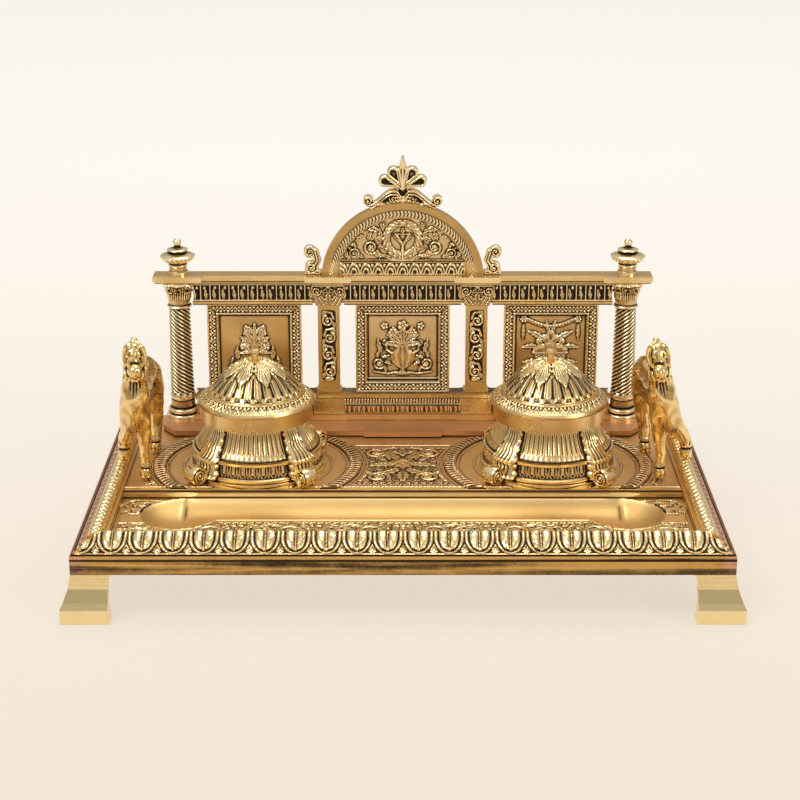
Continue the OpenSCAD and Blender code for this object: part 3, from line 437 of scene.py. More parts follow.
def leaf(x, y, x0, y0, angle, length, width, lobes=3, bend=0.0):
    """A leaf with a lobed edge, veins and a sunk midrib; bend curls its tip sideways."""
    along, across = local(x, y, x0, y0, math.radians(angle))
    t = along / length
    across = across - bend * length * clip(t, 0, 1) ** 2
    swell = sin(math.pi * clip(t, 0, 1) ** 0.8) ** 0.7
    notch = 1 - 0.3 * abs(sin(lobes * math.pi * clip(t + 0.1, 0, 1)))
    half = 0.5 * width * swell * notch + 1e-6
    body = rounded(across, half)
    veins = 0.5 + 0.5 * cos(TAU * lobes * 1.5 * (t - 0.9 * abs(across) / width))
    rib = np.exp(-((across / (0.07 * width)) ** 2))
    return where((t > 0) & (t < 1), body * (0.72 + 0.28 * veins) * (1 - 0.45 * rib), 0)


def volute(x, y, x0, y0, radius, turns=2.0, start=0.0, hand=1, thick=0.3):
    """A spiral ridge that winds in to a round eye; start is its outer end's angle."""
    dx, dy = (x - x0) * hand, y - y0
    reach = hypot(dx, dy)
    angle = arctan2(dy, dx) - math.radians(start if hand > 0 else 180 - start)
    height = rounded(reach, 0.24 * radius)
    for turn in range(int(turns) + 2):
        wound = np.mod(angle, TAU) + TAU * (turn - 1)
        line = radius * (1 - wound / (TAU * turns) * 0.8)
        on = (wound >= 0) & (wound <= TAU * turns)
        half = thick * radius * (0.35 + 0.5 * line / radius)
        height = maximum(height, where(on, rounded(reach - line, half), 0))
    return height


def stem(x, y, points, half):
    """A round ridge along a chain of points."""
    best = np.full(np.shape(x), 1e9)
    for (ax, ay), (bx, by) in zip(points[:-1], points[1:]):
        span = (bx - ax) ** 2 + (by - ay) ** 2
        t = clip(((x - ax) * (bx - ax) + (y - ay) * (by - ay)) / span, 0, 1)
        best = minimum(best, hypot(x - ax - t * (bx - ax), y - ay - t * (by - ay)))
    return rounded(best, half)


def rosette(x, y, x0, y0, radius, petals=6):
    reach, angle = hypot(x - x0, y - y0), arctan2(y - y0, x - x0)
    edge = radius * (0.72 + 0.28 * abs(cos(petals * angle / 2)))
    petal = rounded(reach - 0.62 * edge, 0.4 * edge) * (0.5 + 0.5 * abs(cos(petals * angle / 2)))
    return maximum(petal, rounded(reach, 0.26 * radius))


def over(*heights):
    """The highest of several heights at each point."""
    out = heights[0]
    for height in heights[1:]:
        out = maximum(out, height)
    return out


def leaves(x, y, *rows):
    return over(*(leaf(x, y, *row) for row in rows))


def scroll_branch(x, y, x0, y0, size, hand):
    """An acanthus scroll: a volute in a fan of leaves, size across."""
    r = 0.34 * size
    out = volute(x, y, x0, y0, r, 1.7, 200, hand, 0.24)
    for i, angle in enumerate((70, 118, 165, 212)):
        a = angle if hand > 0 else 180 - angle
        px = x0 + 0.98 * r * math.cos(math.radians(a))
        py = y0 + 0.98 * r * math.sin(math.radians(a))
        out = over(out, leaf(x, y, px, py, a + 24 * hand, (0.5 - 0.04 * i) * size, 0.26 * size, 3,
            0.3 * hand))
    return over(out, 0.9 * rosette(x, y, x0, y0, 0.42 * r, 5))


# ---------- shader wires and node groups ----------


def feed(node, values):
    """Gives a node's inputs their numbers, colours and wires, by name or by place."""
    for socket, value in values.items():
        if isinstance(value, Wire):
            node.id_data.links.new(value.socket, node.inputs[socket])
        else:
            node.inputs[socket].default_value = value
    return node


def added(tree, kind, values=None, **settings):
    """A new node with its settings and inputs."""
    node = tree.nodes.new(kind)
    for key, value in settings.items():
        setattr(node, key, value)
    return feed(node, values or {})


def put(tree, kind, output, values=None, **settings):
    """The wire from one output of a new node."""
    return Wire(added(tree, kind, values, **settings).outputs[output])


class Wire:
    """An output in a node tree, which takes plain arithmetic."""

    def __init__(self, socket):
        self.socket, self.tree = socket, socket.id_data

    def math(self, operation, other=0.0, clamp=False):
        return put(self.tree, "ShaderNodeMath", 0, {0: self, 1: other}, operation=operation, use_clamp=clamp)

    def __add__(self, other):
        return self.math("ADD", other)

    def __sub__(self, other):
        return self.math("SUBTRACT", other)

    def __mul__(self, other):
        return self.math("MULTIPLY", other)

    def __abs__(self):
        return self.math("ABSOLUTE")

    def ramp(self, low_end, high_end, to_low=0.0, to_high=1.0):
        return put(self.tree, "ShaderNodeMapRange", "Result", {"Value": self, "From Min": low_end,
            "From Max": high_end, "To Min": to_low, "To Max": to_high}, interpolation_type="SMOOTHSTEP")

    def blend(self, a, b):
        """Colour a where this wire is 0, and b where it is 1."""
        return put(self.tree, "ShaderNodeMix", 2, {0: self, 6: a, 7: b}, data_type="RGBA")

    def noise(self, scale, detail=3.0):
        return put(self.tree, "ShaderNodeTexNoise", "Fac", {"Vector": self, "Scale": scale, "Detail": detail})

    def stretched(self, scale):
        return put(self.tree, "ShaderNodeMapping", "Vector", {"Vector": self, "Scale": scale})

    def split(self):
        """Its X, Y and Z."""
        node = added(self.tree, "ShaderNodeSeparateXYZ", {"Vector": self})
        return [Wire(node.outputs[name]) for name in "XYZ"]


def group_of(name, inputs, outputs):
    """A new shader node group, with wires from its inputs and the node that takes its outputs."""
    GROUPS[name] = group = bpy.data.node_groups.new(name, "ShaderNodeTree")
    for socket, default in inputs.items():
        kind = "Vector" if default is None else "Color" if isinstance(default, tuple) else "Float"
        made = group.interface.new_socket(socket, in_out="INPUT", socket_type="NodeSocket" + kind)
        if default is not None:
            made.default_value = default
    for socket in outputs:
        kind = "Color" if socket == "Color" else "Float"
        group.interface.new_socket(socket, in_out="OUTPUT", socket_type="NodeSocket" + kind)
    given = group.nodes.new("NodeGroupInput")
    return {socket: Wire(given.outputs[socket]) for socket in inputs}, group.nodes.new("NodeGroupOutput")


GROUPS = {}


def build_aged_brass():
    """Brass that is bright where it stands proud and dark where patina has settled."""
    given, result = group_of("Aged brass", {"Vector": None, "Relief": 0.5, "Patina": 1.0, "Mottling": 0.2,
        "Bright": (1, 1, 1, 1), "Mid": (1, 1, 1, 1), "Dark": (0, 0, 0, 1)},
        ("Color", "Roughness", "Metallic"))
    stain = given["Vector"].noise(85) * 0.6 + given["Vector"].noise(900, 2) * 0.4
    level = given["Relief"] + (stain - 0.5) * given["Mottling"] * 2.0
    settled = level.ramp(RESTING, 0.2).math("MULTIPLY", given["Patina"], clamp=True)
    colour = level.ramp(RESTING, 0.8).blend(given["Mid"], given["Bright"])
    feed(result, {"Color": settled.blend(colour, given["Dark"]),
        "Roughness": level.ramp(0.35, 0.9, 0.36, 0.2) + settled * 0.32, "Metallic": settled * -0.5 + 1.0})


def build_cast_skin():
    """The slight unevenness of a hand-finished casting, as a height."""
    given, result = group_of("Cast skin", {"Vector": None, "Scale": 450.0}, ("Height",))
    wave, pits = given["Vector"].noise(120, 2), given["Vector"].noise(given["Scale"], 4.0)
    feed(result, {"Height": wave * 0.6 + pits * 0.4})


def build_brushed():
    """Fine straight scratches along one direction, as a height."""
    given, result = group_of("Brushed grain", {"Vector": None}, ("Height",))
    feed(result, {"Height": given["Vector"].noise(1.0, 4)})


# ---------- finishes ----------

MATERIALS = {}


def new_material(name, view_colour):
    """A new material, its shader and a wire of its Object coordinates."""
    material = bpy.data.materials.new(name)
    material.use_nodes = True
    material.diffuse_color = view_colour
    tree = material.node_tree
    return material, tree.nodes["Principled BSDF"], put(tree, "ShaderNodeTexCoord", "Object")


def brass(name, level=None, patina=1.0, mottling=0.14, bump=0.06, brushed=None, bright=None, mid=None,
        masks=None, flush=None, rough=0.0):
    """A brass finish.

    Without a level it reads the piece's own relief; a level says how bright a plain piece stands.
    bump is in millimetres, and brushed is the scale of its grain along X, Y and Z.
    masks(vector, level) may darken the level by place, and flush(vector) says where the
    copper flush lies. rough is added to its roughness.
    """
    colours = finish()
    material, shader, vector = new_material(name, colours.mid)
    tree = vector.tree
    if level is None:
        height = put(tree, "ShaderNodeAttribute", "Fac", attribute_name="relief")
    else:
        height = put(tree, "ShaderNodeMapRange", "Result", {"Value": level})
    if masks:
        height = masks(vector, height)
    bright, mid = tuple(bright or colours.bright), tuple(mid or colours.mid)
    if flush:
        share = flush(vector)
        bright = share.blend(bright, tuple(0.6 * c + 0.4 * b for c, b in zip(colours.copper, bright)))
        mid = share.blend(mid, tuple(colours.copper))
    metal = added(tree, "ShaderNodeGroup", node_tree=GROUPS["Aged brass"], values={"Vector": vector,
        "Relief": height, "Patina": patina, "Mottling": mottling, "Bright": bright, "Mid": mid,
        "Dark": tuple(colours.dark)}).outputs
    skin = put(tree, "ShaderNodeGroup", "Height", {"Vector": vector, "Scale": 700.0},
        node_tree=GROUPS["Cast skin"])
    if brushed:
        skin = skin * 0.3 + put(tree, "ShaderNodeGroup", "Height", {"Vector": vector.stretched(brushed)},
            node_tree=GROUPS["Brushed grain"])
    feed(shader, {"Base Color": Wire(metal["Color"]), "Metallic": Wire(metal["Metallic"]),
        "Roughness": Wire(metal["Roughness"]) + rough,
        "Normal": put(tree, "ShaderNodeBump", "Normal",
            {"Strength": 1.0, "Distance": bump * MM, "Height": skin})})
    return material


def in_millimetres(vector):
    """X, Y and Z of a point, in millimetres."""
    return put(vector.tree, "ShaderNodeVectorMath", "Vector", {0: vector, "Scale": 1 / MM},
        operation="SCALE").split()


def tray_patina_and_shade(vector, level):
    """Painted shade and patina in thin dark lines at the foot of each rise, and a painted dark reflection, in
    upright streaks, on the front face.
    """
    _, y, z = in_millimetres(vector)
    # painted shade, with some patina, in a thin dark line at the foot of each rise
    for foot in (DECK_Z, PEN_Z):
        line = z.ramp(foot + 0.02, foot + 0.1) * z.ramp(foot + 1.5, foot + 0.35)
        level = level - line * 0.42
    # painted dark reflection on the tray's front face, broken into upright streaks
    painted_fascia_reflection = y.ramp(TRAY_FRONT + 0.3, TRAY_FRONT + 0.05) * z.ramp(DECK_Z + 0.1, DECK_Z - 1.1)
    streaks = vector.stretched((9, 9, 240)).noise(1.0, 3)
    return level - painted_fascia_reflection * streaks.ramp(0.36, 0.66, 0.1, 0.3)


def tray_flush(vector):
    """Copper tint on the step and along the outer slopes."""
    x, y, z = in_millimetres(vector)
    step = z.ramp(DECK_Z + 0.8, DECK_Z + 1.6) * y.ramp(STEP_FRONT - 6, STEP_FRONT - 4)
    side = abs(x).ramp(TRAY_X - 7.5, TRAY_X - 5)
    return step.math("MAXIMUM", side).math("MAXIMUM", y.ramp(LEDGE_Y, LEDGE_Y + 8) * 0.35)


def deck_flush(vector):
    """Copper tint that comes and goes over the deck, and lies on the rings round the wells."""
    x, y, _ = in_millimetres(vector)
    across, along = abs(x) - WELL_X, y - WELL_Y
    reach = (across * across + along * along).math("SQRT")
    ring = reach.ramp(45, 46.5) * reach.ramp(55, 53.5, 0, 0.55)
    return ring.math("MAXIMUM", vector.noise(38, 2).ramp(0.38, 0.62) * 0.6)


def gallery_lines(vector, level):
    """Thin dark lines of painted shade and patina along the creases of the gallery's mouldings."""
    _, y, z = in_millimetres(vector)
    # painted shade and patina in a thin line at each crease of the mouldings
    for height in (STEP_Z + 0.25, STEP_Z + 3.7, RAIL_Z - 2.7, RAIL_Z - 0.2, PANEL_TOP + 0.3, PANEL_TOP + 2.0,
            CORNICE_Z - 0.9, CORNICE_Z + 0.25):
        level = level - abs(z - height).ramp(0.42, 0.12, 0, 0.34)
    level = level - z.ramp(TOP_Z + 0.3, TOP_Z + 1, 0, 0.13)
    return level + y.ramp(PED_FRONT + 0.4, ENTAB_FRONT - 2.5, 0, 0.2)


def steel():
    material, shader, vector = new_material("Steel fastener", (0.5, 0.5, 0.5, 1))
    feed(shader, {"Metallic": 1.0, "Roughness": vector.noise(900).ramp(0.3, 0.7, 0.25, 0.45),
        "Base Color": vector.noise(600).blend((0.42, 0.4, 0.37, 1), (0.6, 0.58, 0.55, 1))})
    return material


def glass():
    material, shader, vector = new_material("Pressed glass", (0.8, 0.9, 0.88, 1))
    feed(shader, {"Transmission Weight": 0.9, "IOR": 1.5,
        "Roughness": vector.noise(300).ramp(0.3, 0.7, 0.03, 0.1),
        "Base Color": vector.noise(150).blend((0.78, 0.9, 0.87, 1), (0.86, 0.94, 0.92, 1))})
    return material


def make_materials():
    copper = finish().copper
    for build in (build_aged_brass, build_cast_skin, build_brushed):
        build()
    MATERIALS.update({
        "carved": brass("Carved brass", bump=0.04),
        "gallery": brass("Gallery carving", bump=0.04, mid=(0.7, 0.5, 0.25, 1), bright=(1, 0.86, 0.56, 1)),
        "plaque": brass("Plaque brass", patina=0.95, bump=0.03, mid=(0.74, 0.54, 0.28, 1),
            bright=(1, 0.87, 0.6, 1)),
        "goat": brass("Goat brass", bump=0.05, rough=-0.07, mid=(0.66, 0.41, 0.14, 1),
            bright=(0.96, 0.72, 0.34, 1)),
        "polished": brass("Polished brass", level=0.62, mottling=0.08, bump=0.03),
        "plain": brass("Plain brass", level=0.54, masks=gallery_lines),
        "deck": brass("Deck carving", bump=0.04, flush=deck_flush, rough=0.06),
        "trough": brass("Trough brass", mottling=0.1, brushed=(25, 700, 700), bump=0.05, rough=0.14,
            mid=(0.68, 0.45, 0.17, 1), bright=(0.82, 0.58, 0.26, 1)),
        "tray": brass("Tray brass", level=0.56, mottling=0.12, brushed=(20, 500, 900), bump=0.04, rough=0.16,
            masks=tray_patina_and_shade, flush=tray_flush, mid=(0.72, 0.43, 0.13, 1)),
        "foot": brass("Foot brass", level=0.78, mottling=0.22, brushed=(30, 30, 1100), bump=0.05),
        "flushed": brass("Flushed carving", bump=0.04, rough=0.12, mid=copper, bright=(0.78, 0.46, 0.26, 1)),
        "steel": steel(),
        "glass": glass(),
    })


def dress(obj, finish_name):
    obj.data.materials.clear()
    obj.data.materials.append(MATERIALS[finish_name])


def settle(obj, finish_name, body="base", slot="antique_brass", angle=40, **relief):
    """Finishes a piece: smooth shading, its relief, its material and its body; slot is not used."""
    select_only(obj)
    bpy.ops.object.shade_smooth_by_angle(angle=math.radians(angle))
    mark_relief(obj, **relief)
    dress(obj, finish_name)
    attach(obj, body)


# ---------- stage ----------

# The camera's place in metres, its tilt in degrees and its lens in millimetres
EYE, EYE_TILT, EYE_LENS = (-0.0014, -0.8952, 0.395), 70.296, 86.52


class INKSTAND_OT_stage(bpy.types.Operator):
    """Adds the pale floor, the soft lamps and the camera"""

    bl_idname = "inkstand.stage"
    bl_label = "Stage"

    def execute(self, context):
        clear_selection()
        bpy.ops.mesh.primitive_plane_add(size=9, location=(0, 1.2, 0))
        bpy.ops.object.transform_apply(location=True)
        floor = named("floor")
        MATERIALS["floor"] = self.pale_floor()
        dress(floor, "floor")
        self.add_lamps()
        self.add_world(context.scene)
        self.add_camera(context.scene)
        context.scene.view_settings.view_transform = "Standard"
        return {"FINISHED"}

    def pale_floor(self):
        material, shader, vector = new_material("Pale floor", finish().floor)
        tree, depth = vector.tree, vector.split()[Y]
        # its colour is a painted gradient of light, darker near the camera and paler far off
        feed(shader, {"Base Color": depth.ramp(-0.5, 1.6).blend(tuple(finish().floor), (0.95, 0.92, 0.86, 1)),
            "Roughness": 0.9, "Specular IOR Level": 0.1})
        # what the lens and the metal see of it is mostly its own tone, a painted gradient of light, darker
        # near the camera and paler far off
        tone = depth.ramp(-0.6, 0.9).blend((0.86, 0.745, 0.61, 1), (1.05, 1.01, 0.95, 1))
        glow = put(tree, "ShaderNodeEmission", "Emission", {"Color": tone, "Strength": 1.0})
        path = added(tree, "ShaderNodeLightPath").outputs
        lens, gloss, clear = (Wire(path[f"Is {kind} Ray"]) for kind in ("Camera", "Glossy", "Transmission"))
        seen = lens.math("ADD", gloss + clear, clamp=True)
        feed(tree.nodes["Material Output"], {"Surface": put(tree, "ShaderNodeMixShader", "Shader",
            {0: seen * 0.76, 1: Wire(shader.outputs["BSDF"]), 2: glow})})
        return material

    def add_lamps(self):
        # name, place, size, power, colour
        lamps = (
            ("key_lamp", (-0.7, -0.55, 1.25), 0.7, 7.5, (1.0, 0.96, 0.9)),
            ("fill_lamp", (0.95, -0.65, 0.75), 0.6, 3.0, (1.0, 0.95, 0.88)),
            ("top_lamp", (0.1, 0.5, 1.4), 0.9, 5.5, (1.0, 0.97, 0.93)),
        )
        for name, place, size, power, colour in lamps:
            bpy.ops.object.light_add(type="AREA", location=place)
            lamp = named(name)
            lamp.data.shape = "DISK"
            lamp.data.size, lamp.data.energy, lamp.data.color = size, power, colour
            aim = Vector((0, 0.02, 0.06)) - Vector(place)
            lamp.rotation_euler = aim.to_track_quat("-Z", "Y").to_euler()

    def add_world(self, scene):
        scene.world = bpy.data.worlds.new("Studio")
        scene.world.use_nodes = True
        tree = scene.world.node_tree
        height = put(tree, "ShaderNodeTexCoord", "Generated").split()[Z]
        shade = height.ramp(0.0, 0.75).blend((0.62, 0.56, 0.48, 1), (0.95, 0.93, 0.9, 1))
        feed(tree.nodes["Background"], {"Color": shade, "Strength": 0.62})

    def add_camera(self, scene):
        bpy.ops.object.camera_add(location=EYE, rotation=(math.radians(EYE_TILT), 0, 0))
        scene.camera = bpy.context.object
        scene.camera.name = "camera"
        lens = scene.camera.data
        lens.sensor_width, lens.lens = 36, EYE_LENS
        lens.clip_start, lens.clip_end = 0.05, 20


# ---------- tray ----------


def on_outline(points, t):
    """Place and normal at a share t of the way along an outline of (run, height)."""
    pts = np.array(points, float)
    length = np.concatenate([[0], np.cumsum(hypot(*np.diff(pts, axis=0).T))])
    length /= length[-1]

    def at(s):
        return interp(s, length, pts[:, 0]), interp(s, length, pts[:, 1])

    (run, height), (r0, h0), (r1, h1) = at(t), at(clip(t - 0.06, 0, 1)), at(clip(t + 0.06, 0, 1))
    size = hypot(r1 - r0, h1 - h0)
    return run, height, -(h1 - h0) / size, (r1 - r0) / size


FRONT_SLOPE = about(0, DECK_Z, (1.4, 0.66), (2.6, 0.95), (4.6, 2.5), (7, 4.4), (9.6, 5.9)) \
    + about(BORDER_RUN, DECK_Z + BORDER_H, (-2.4, -0.25), (-0.9, -0.1))
SIDE_SLOPE = [(0.9, DECK_Z + 0.6), (4.2, DECK_Z + 2.7), (ROPE_INSET - ROPE_R - 0.1, DECK_Z + BORDER_H - 2.1)]


def border_leaves(x, v):
    """Tongue leaves with a double outline, two lobes and a rib, and a diamond between their tips."""
    pitch = sizes().leaf_pitch / MM
    cx = abs(repeat(x - pitch / 2, pitch))
    s = 1 - v
    half = 0.485 * pitch * round_end((s - 0.34) / 0.62)
    edge = half - cx
    band = rounded(edge - 0.75, 0.78)
    inner = maximum(half - 1.9, 0) * ease(0.86 - s, 0.12)
    lobe = rounded(cx - 0.52 * inner, 0.42 * inner + 1e-3) * (inner > 0.3)
    veins = 1 - 0.2 * (0.5 + 0.5 * cos(TAU * (cx + 0.35 * s * pitch) / 0.85))
    rib = 0.7 * rounded(cx, 0.42) * ease(0.9 - s, 0.1)
    far = 0.5 * pitch - cx
    diamond = clip(1 - far / 2.1 - abs(s - 0.86) / 0.13, 0, 1) ** 0.6
    low_band = 0.7 * rounded(edge + 1.1, 0.45) * (s > 0.4) * (s < 0.8)
    return over(0.85 * band, lobe * veins, rib, 0.9 * diamond, low_band) * ease(v / 0.05) * ease(1 - v, 0.03)


def front_border(u, v):
    inset, height, out_y, out_z = on_outline(FRONT_SLOPE, v)
    x = (2 * u - 1) * (TRAY_X - inset - 0.3)
    raised = 0.08 + sizes().leaf_depth / MM * border_leaves(x, v)
    return stack([x, TRAY_FRONT + inset + raised * out_y, height + raised * out_z], 1)


def side_border(u, v):
    """Row of small pointed leaves along the outer slope of the right side."""
    inset, height, out_x, out_z = on_outline(SIDE_SLOPE, v)
    front = TRAY_FRONT + inset + 1
    y = front + u * (TRAY_REAR - 0.5 - front)
    cell = repeat(y, 5.9) / 2.95
    t = (v - 0.42) / 0.5
    notch = ease(0.86 * (1 - t) - abs(cell), 0.16) * ease(t / 0.14) * ease(1 - t, 0.1)
    rib = rounded(cell - 0.25 * (t - 0.3), 0.14) * ease(0.7 - t, 0.2)
    raised = 0.06 + 0.6 * (1 - notch * (1 - 0.75 * rib)) * ease(v - 0.3, 0.08)
    raised = raised * ease(u / 0.004) * ease(1 - u, 0.004)
    return stack([TRAY_X - inset - raised * out_x, y, height + raised * out_z], 1)


def rope(u, v):
    """Twisted rope bead along the right side."""
    front = TRAY_FRONT + ROPE_INSET + 0.5
    y = front + u * (TRAY_REAR - 0.4 - front)
    around = TAU * v
    strand = 2 * abs(repeat(y / 4.4 + 1.1 * sin(around) / TAU + 0.05 * sin(y / 4.3), 1.0))
    radius = ROPE_R + 0.05 + 0.85 * rounded(strand, 0.8)
    return stack([TRAY_X - ROPE_INSET + radius * cos(around), y,
        DECK_Z + BORDER_H - ROPE_R + radius * sin(around)], 1)


def over_slope(points):
    """Height of points over the slope outside the rope beads, whose outline runs in from the tray's side."""
    runs, heights = np.array(SIDE_SLOPE).T
    return 0.75 * (points[:, Z] - interp(TRAY_X - abs(points[:, X]), runs, heights))


def small_curls(x, y, pitch=3.7):
    """Little curls that fill the ground between larger foliage."""
    row = np.round(y / pitch)
    cx = repeat(x + 0.5 * pitch * (row % 2) + 0.5 * sin(2.1 * row), pitch)
    cy = repeat(y, pitch) + 0.3 * sin(1.7 * x)
    reach = hypot(cx, cy)
    return over(rounded(reach - 0.36 * pitch + 0.25 * sin(arctan2(cy, cx) + row), 0.5), rounded(reach, 0.45))


def ring_reach(x, y):
    """Distance from the axis of the nearer well, in millimetres."""
    return hypot(abs(x) - WELL_X, y - WELL_Y)


def deck_height(x, y):
    """Relief on the deck, in millimetres; bare stretches lie just under the cast deck."""
    reach = ring_reach(x, y)
    angle = arctan2(y - WELL_Y, abs(x) - WELL_X)
    on_ring = between(reach, RING_IN, RING_OUT, 0.5)
    ribs = rounded(repeat(angle * 54 / math.pi + 0.1 * (reach - 50), 1.0), 0.36)
    ring = on_ring * (0.86 + 0.62 * ribs * between(reach, 47.4, 52.6, 0.4))
    ring = over(ring, on_ring * (0.86 + 0.5 * over(rounded(reach - 47.2, 0.35), rounded(reach - 52.8, 0.35))))
    lines = over(rounded(reach - 45.2, 0.5), rounded(reach - 54.8, 0.6), 0.8 * rounded(reach - 37.6, 0.7))
    height = over(ring - 0.12, 0.62 * lines - 0.12)
    depth = sizes().carving_depth / MM
    ax = abs(x)
    # cartouche between the wells
    inside = ease(reach - 56.2, 0.8) * ease(44 - y, 0.7) * ease(y + 8, 0.7) * (ax < 30)
    foliage = over(scroll_branch(ax, y, 13.5, 36, 17, 1), scroll_branch(ax, y, 12.5, 2.5, 17, -1),
        leaves(ax, y, (1.5, 28, 35, 15, 9, 4, 0.25), (3, 20, 5, 14, 8, 4, -0.2), (2, 14, -48, 15, 8, 4, 0.2),
        (0, 32, 90, 10, 7, 3), (0, 10, -90, 13, 9, 4), (9, 25, 62, 9, 5, 3, -0.2), (19, 38, 10, 9, 6, 3, 0.1),
        (19, 0, -15, 10, 6, 3, -0.1)), 0.42 * small_curls(ax, y))
    boss = pearl(x / 7.2, (y - 21.5) / 8.2, 1.0) * (0.8 + 0.2 * cos(x * 1.5) * cos((y - 21) * 1.1))
    petals = 1.15 * pearl(x / 4.2, (y - 24.5) / 2.6, 1.0)
    height = over(height, inside * (0.07 + depth * over(foliage, 1.1 * boss, petals)) - 0.12 * (1 - inside))
    # corner spandrels with their dark foliage
    for y0, up in ((-7.5, 1), (48, -1)):
        corner = (reach > 56) & (ax > 96) & (ax < 129)
        wedge = ease(up * (y - y0), 0.6) * ease(13 - up * (y - y0), 1.5) * corner
        growth = over(scroll_branch(ax, y, 116, y0 + up * 5, 12, up),
            leaves(ax, y, (106, y0 + up * 1.5, up * 25, 9, 5, 3), (122, y0 + up * 2, up * 50, 8, 5, 3)),
            0.4 * small_curls(ax, y))
        height = over(height, wedge * (0.07 + depth * growth) - 0.12 * (1 - wedge))
    # twisted bead along the front and a plain line at the back
    bead = rounded(y + 10.2, 0.75) * (0.65 + 0.35 * abs(sin(1.5 * (x + y)))) * (reach > 36)
    back = rounded(y - 46.5, 0.6) * (reach > 55) * (ax < 48)
    return over(height, 0.75 * bead - 0.12, 0.6 * back - 0.12)


def deck_level(points):
    """Height over the deck, or over the ground of the ring round a well."""
    x, y, z = points.T
    reach = ring_reach(x, y)
    ring = between(reach, RING_IN, RING_OUT, 0.5)
    return (z - DECK_Z - 0.05 - 0.8 * ring) * (1 - 0.45 * ring)


def deck_sheet(x0, x1):
    def surface(u, v):
        x = x0 + u * (x1 - x0)
        y = DECK_FRONT + v * (STEP_FRONT - 2.4 - DECK_FRONT)
        return stack([x, y, DECK_Z + deck_height(x, y)], 1)
    return surface


def trough_bowls(x, y, least=0):
    """Heights of the round hollow at the trough's ends and of the long one between them."""
    def bowl(reach, radius):
        curve = (radius ** 2 + TROUGH_DEEP ** 2) / (2 * TROUGH_DEEP)
        return curve - TROUGH_DEEP - sqrt(clip(curve ** 2 - reach ** 2, least, None))
    return (bowl(hypot(abs(x) - TROUGH_END_X, y - (LEDGE_FRONT - 1 - TROUGH_END_R)), TROUGH_END_R),
        bowl(y - (LEDGE_FRONT - 1 - TROUGH_MID_R), TROUGH_MID_R))


def trough_level(x, y):
    """Height of the trough's hollow over the plane it is sunk in, below zero inside it."""
    ends, trunk = trough_bowls(x, y)
    return minimum(ends, where(abs(x) < TROUGH_END_X, trunk, 9))


def blade(x, y, x0, y0, angle, length, width):
    """1 inside a plain two-pointed leaf with its middle at (x0, y0), 0 outside it."""
    along, across = local(x, y, x0, y0, math.radians(angle))
    half = 0.5 * width * (1 - (2 * along / length) ** 2) + 0.15
    return ease((half - abs(across)) / 0.25 + 0.5) * (abs(along) < 0.5 * length + 0.2)


def cast_scrolls(x, y):
    """1 over the scrolls and leaves that stand on the cast pen panel, 0 beside them."""
    ax = abs(x)
    r = PEN_SCROLL_R
    out = ease((0.6 * r - hypot(x, y - PEN_STRIP_Y)) / 0.25 + 0.9)
    for a in range(0, 360, 60):
        c, s = math.cos(math.radians(a)), math.sin(math.radians(a))
        out = over(out, blade(x, y, c * r, PEN_STRIP_Y + s * r, a, 0.9 * r, 0.45 * r))
    for cx, cy, turn in PEN_SCROLLS:
        reach = hypot(ax - cx, y - cy)
        out = over(out, ease((0.12 * r + 0.15 - abs(reach - 0.88 * r)) / 0.25 + 0.5),
            ease((0.34 * r - reach) / 0.25 + 0.9))
        for a in (0, 55, 110):
            c, s = math.cos(math.radians(a * turn)), math.sin(math.radians(a * turn))
            out = over(out, blade(ax, y, cx + 1.4 * r * c, cy + 1.4 * r * s, a * turn, r, 0.5 * r))
    return out


def pen_height(x, y):
    """Foliage on the pen panel, in front of the trough and in its corners."""
    ax = abs(x)
    depth = sizes().carving_depth / MM
    strip = ease(105 - ax, 6) * ease(-47.5 - y, 1.0)
    growth = rosette(x, y, 0, PEN_STRIP_Y, 6.5, 8)
    for i, (cx, cy, turn) in enumerate(PEN_SCROLLS[:5]):
        growth = over(growth, scroll_branch(ax, y, cx, cy, 19, turn),
            leaf(ax, y, cx - 9, -53, -60 + 40 * (i % 2), 12, 6, 3, 0.2),
            leaf(ax, y, cx + 4, -72, 30 - 60 * (i % 2), 12, 6, 3, -0.2))
    running = stem(ax, y, [(6, -66), (15, -70), (25, -57), (34, -52), (44, -66), (53, -70), (63, -57),
        (72, -52), (82, -66), (92, -71)], 0.9)
    growth = over(growth, 0.42 * small_curls(ax, y))
    height = strip * (0.07 + depth * over(growth, running)) - 0.15 * (1 - strip)
    cast = cast_scrolls(x, y)
    height = over(height, cast * (PEN_RELIEF_H + 0.06 + 0.3 * over(growth, running)) - 0.15 * (1 - cast))
    for cx, cy, w, d in ((125.5, -32.5, 8, 7.5), (128.5, -60, 8.5, 10.5)):
        box = ease(w - abs(ax - cx), 0.6) * ease(d - abs(y - cy), 0.6)
        inner = over(0.42 * small_curls(ax, y), scroll_branch(ax, y, cx, cy, 1.5 * w, 1),
            leaves(ax, y, (cx - w + 1, cy + d - 2, -20, w, 5, 3), (cx + 1, cy - d + 2, 60, w, 5, 3)))
        edge = over(rounded(abs(y - cy) - d + 0.8, 0.6) * (abs(ax - cx) < w),
            rounded(abs(ax - cx) - w + 0.8, 0.6) * (abs(y - cy) < d))
        height = over(height, box * (0.07 + depth * over(inner, 0.9 * edge)) - 0.15 * (1 - box))
    frame_line = over(rounded(y + 22.2, 0.5) * (ax > 114) * (ax < 133), rounded(ax - 136.2, 0.5)) - 0.25
    height = over(height, 0.6 * frame_line)
    clear = ease(trough_level(x, y) - 0.35, 0.6)
    return height * clear - 0.15 * (1 - clear)


PEN_RELIEF_H = 0.7
PEN_SCROLL_R = 6.5
PEN_STRIP_Y = PEN_FRONT + 0.5 * (LEDGE_FRONT - 1 - 2 * TROUGH_END_R - PEN_FRONT) + 5
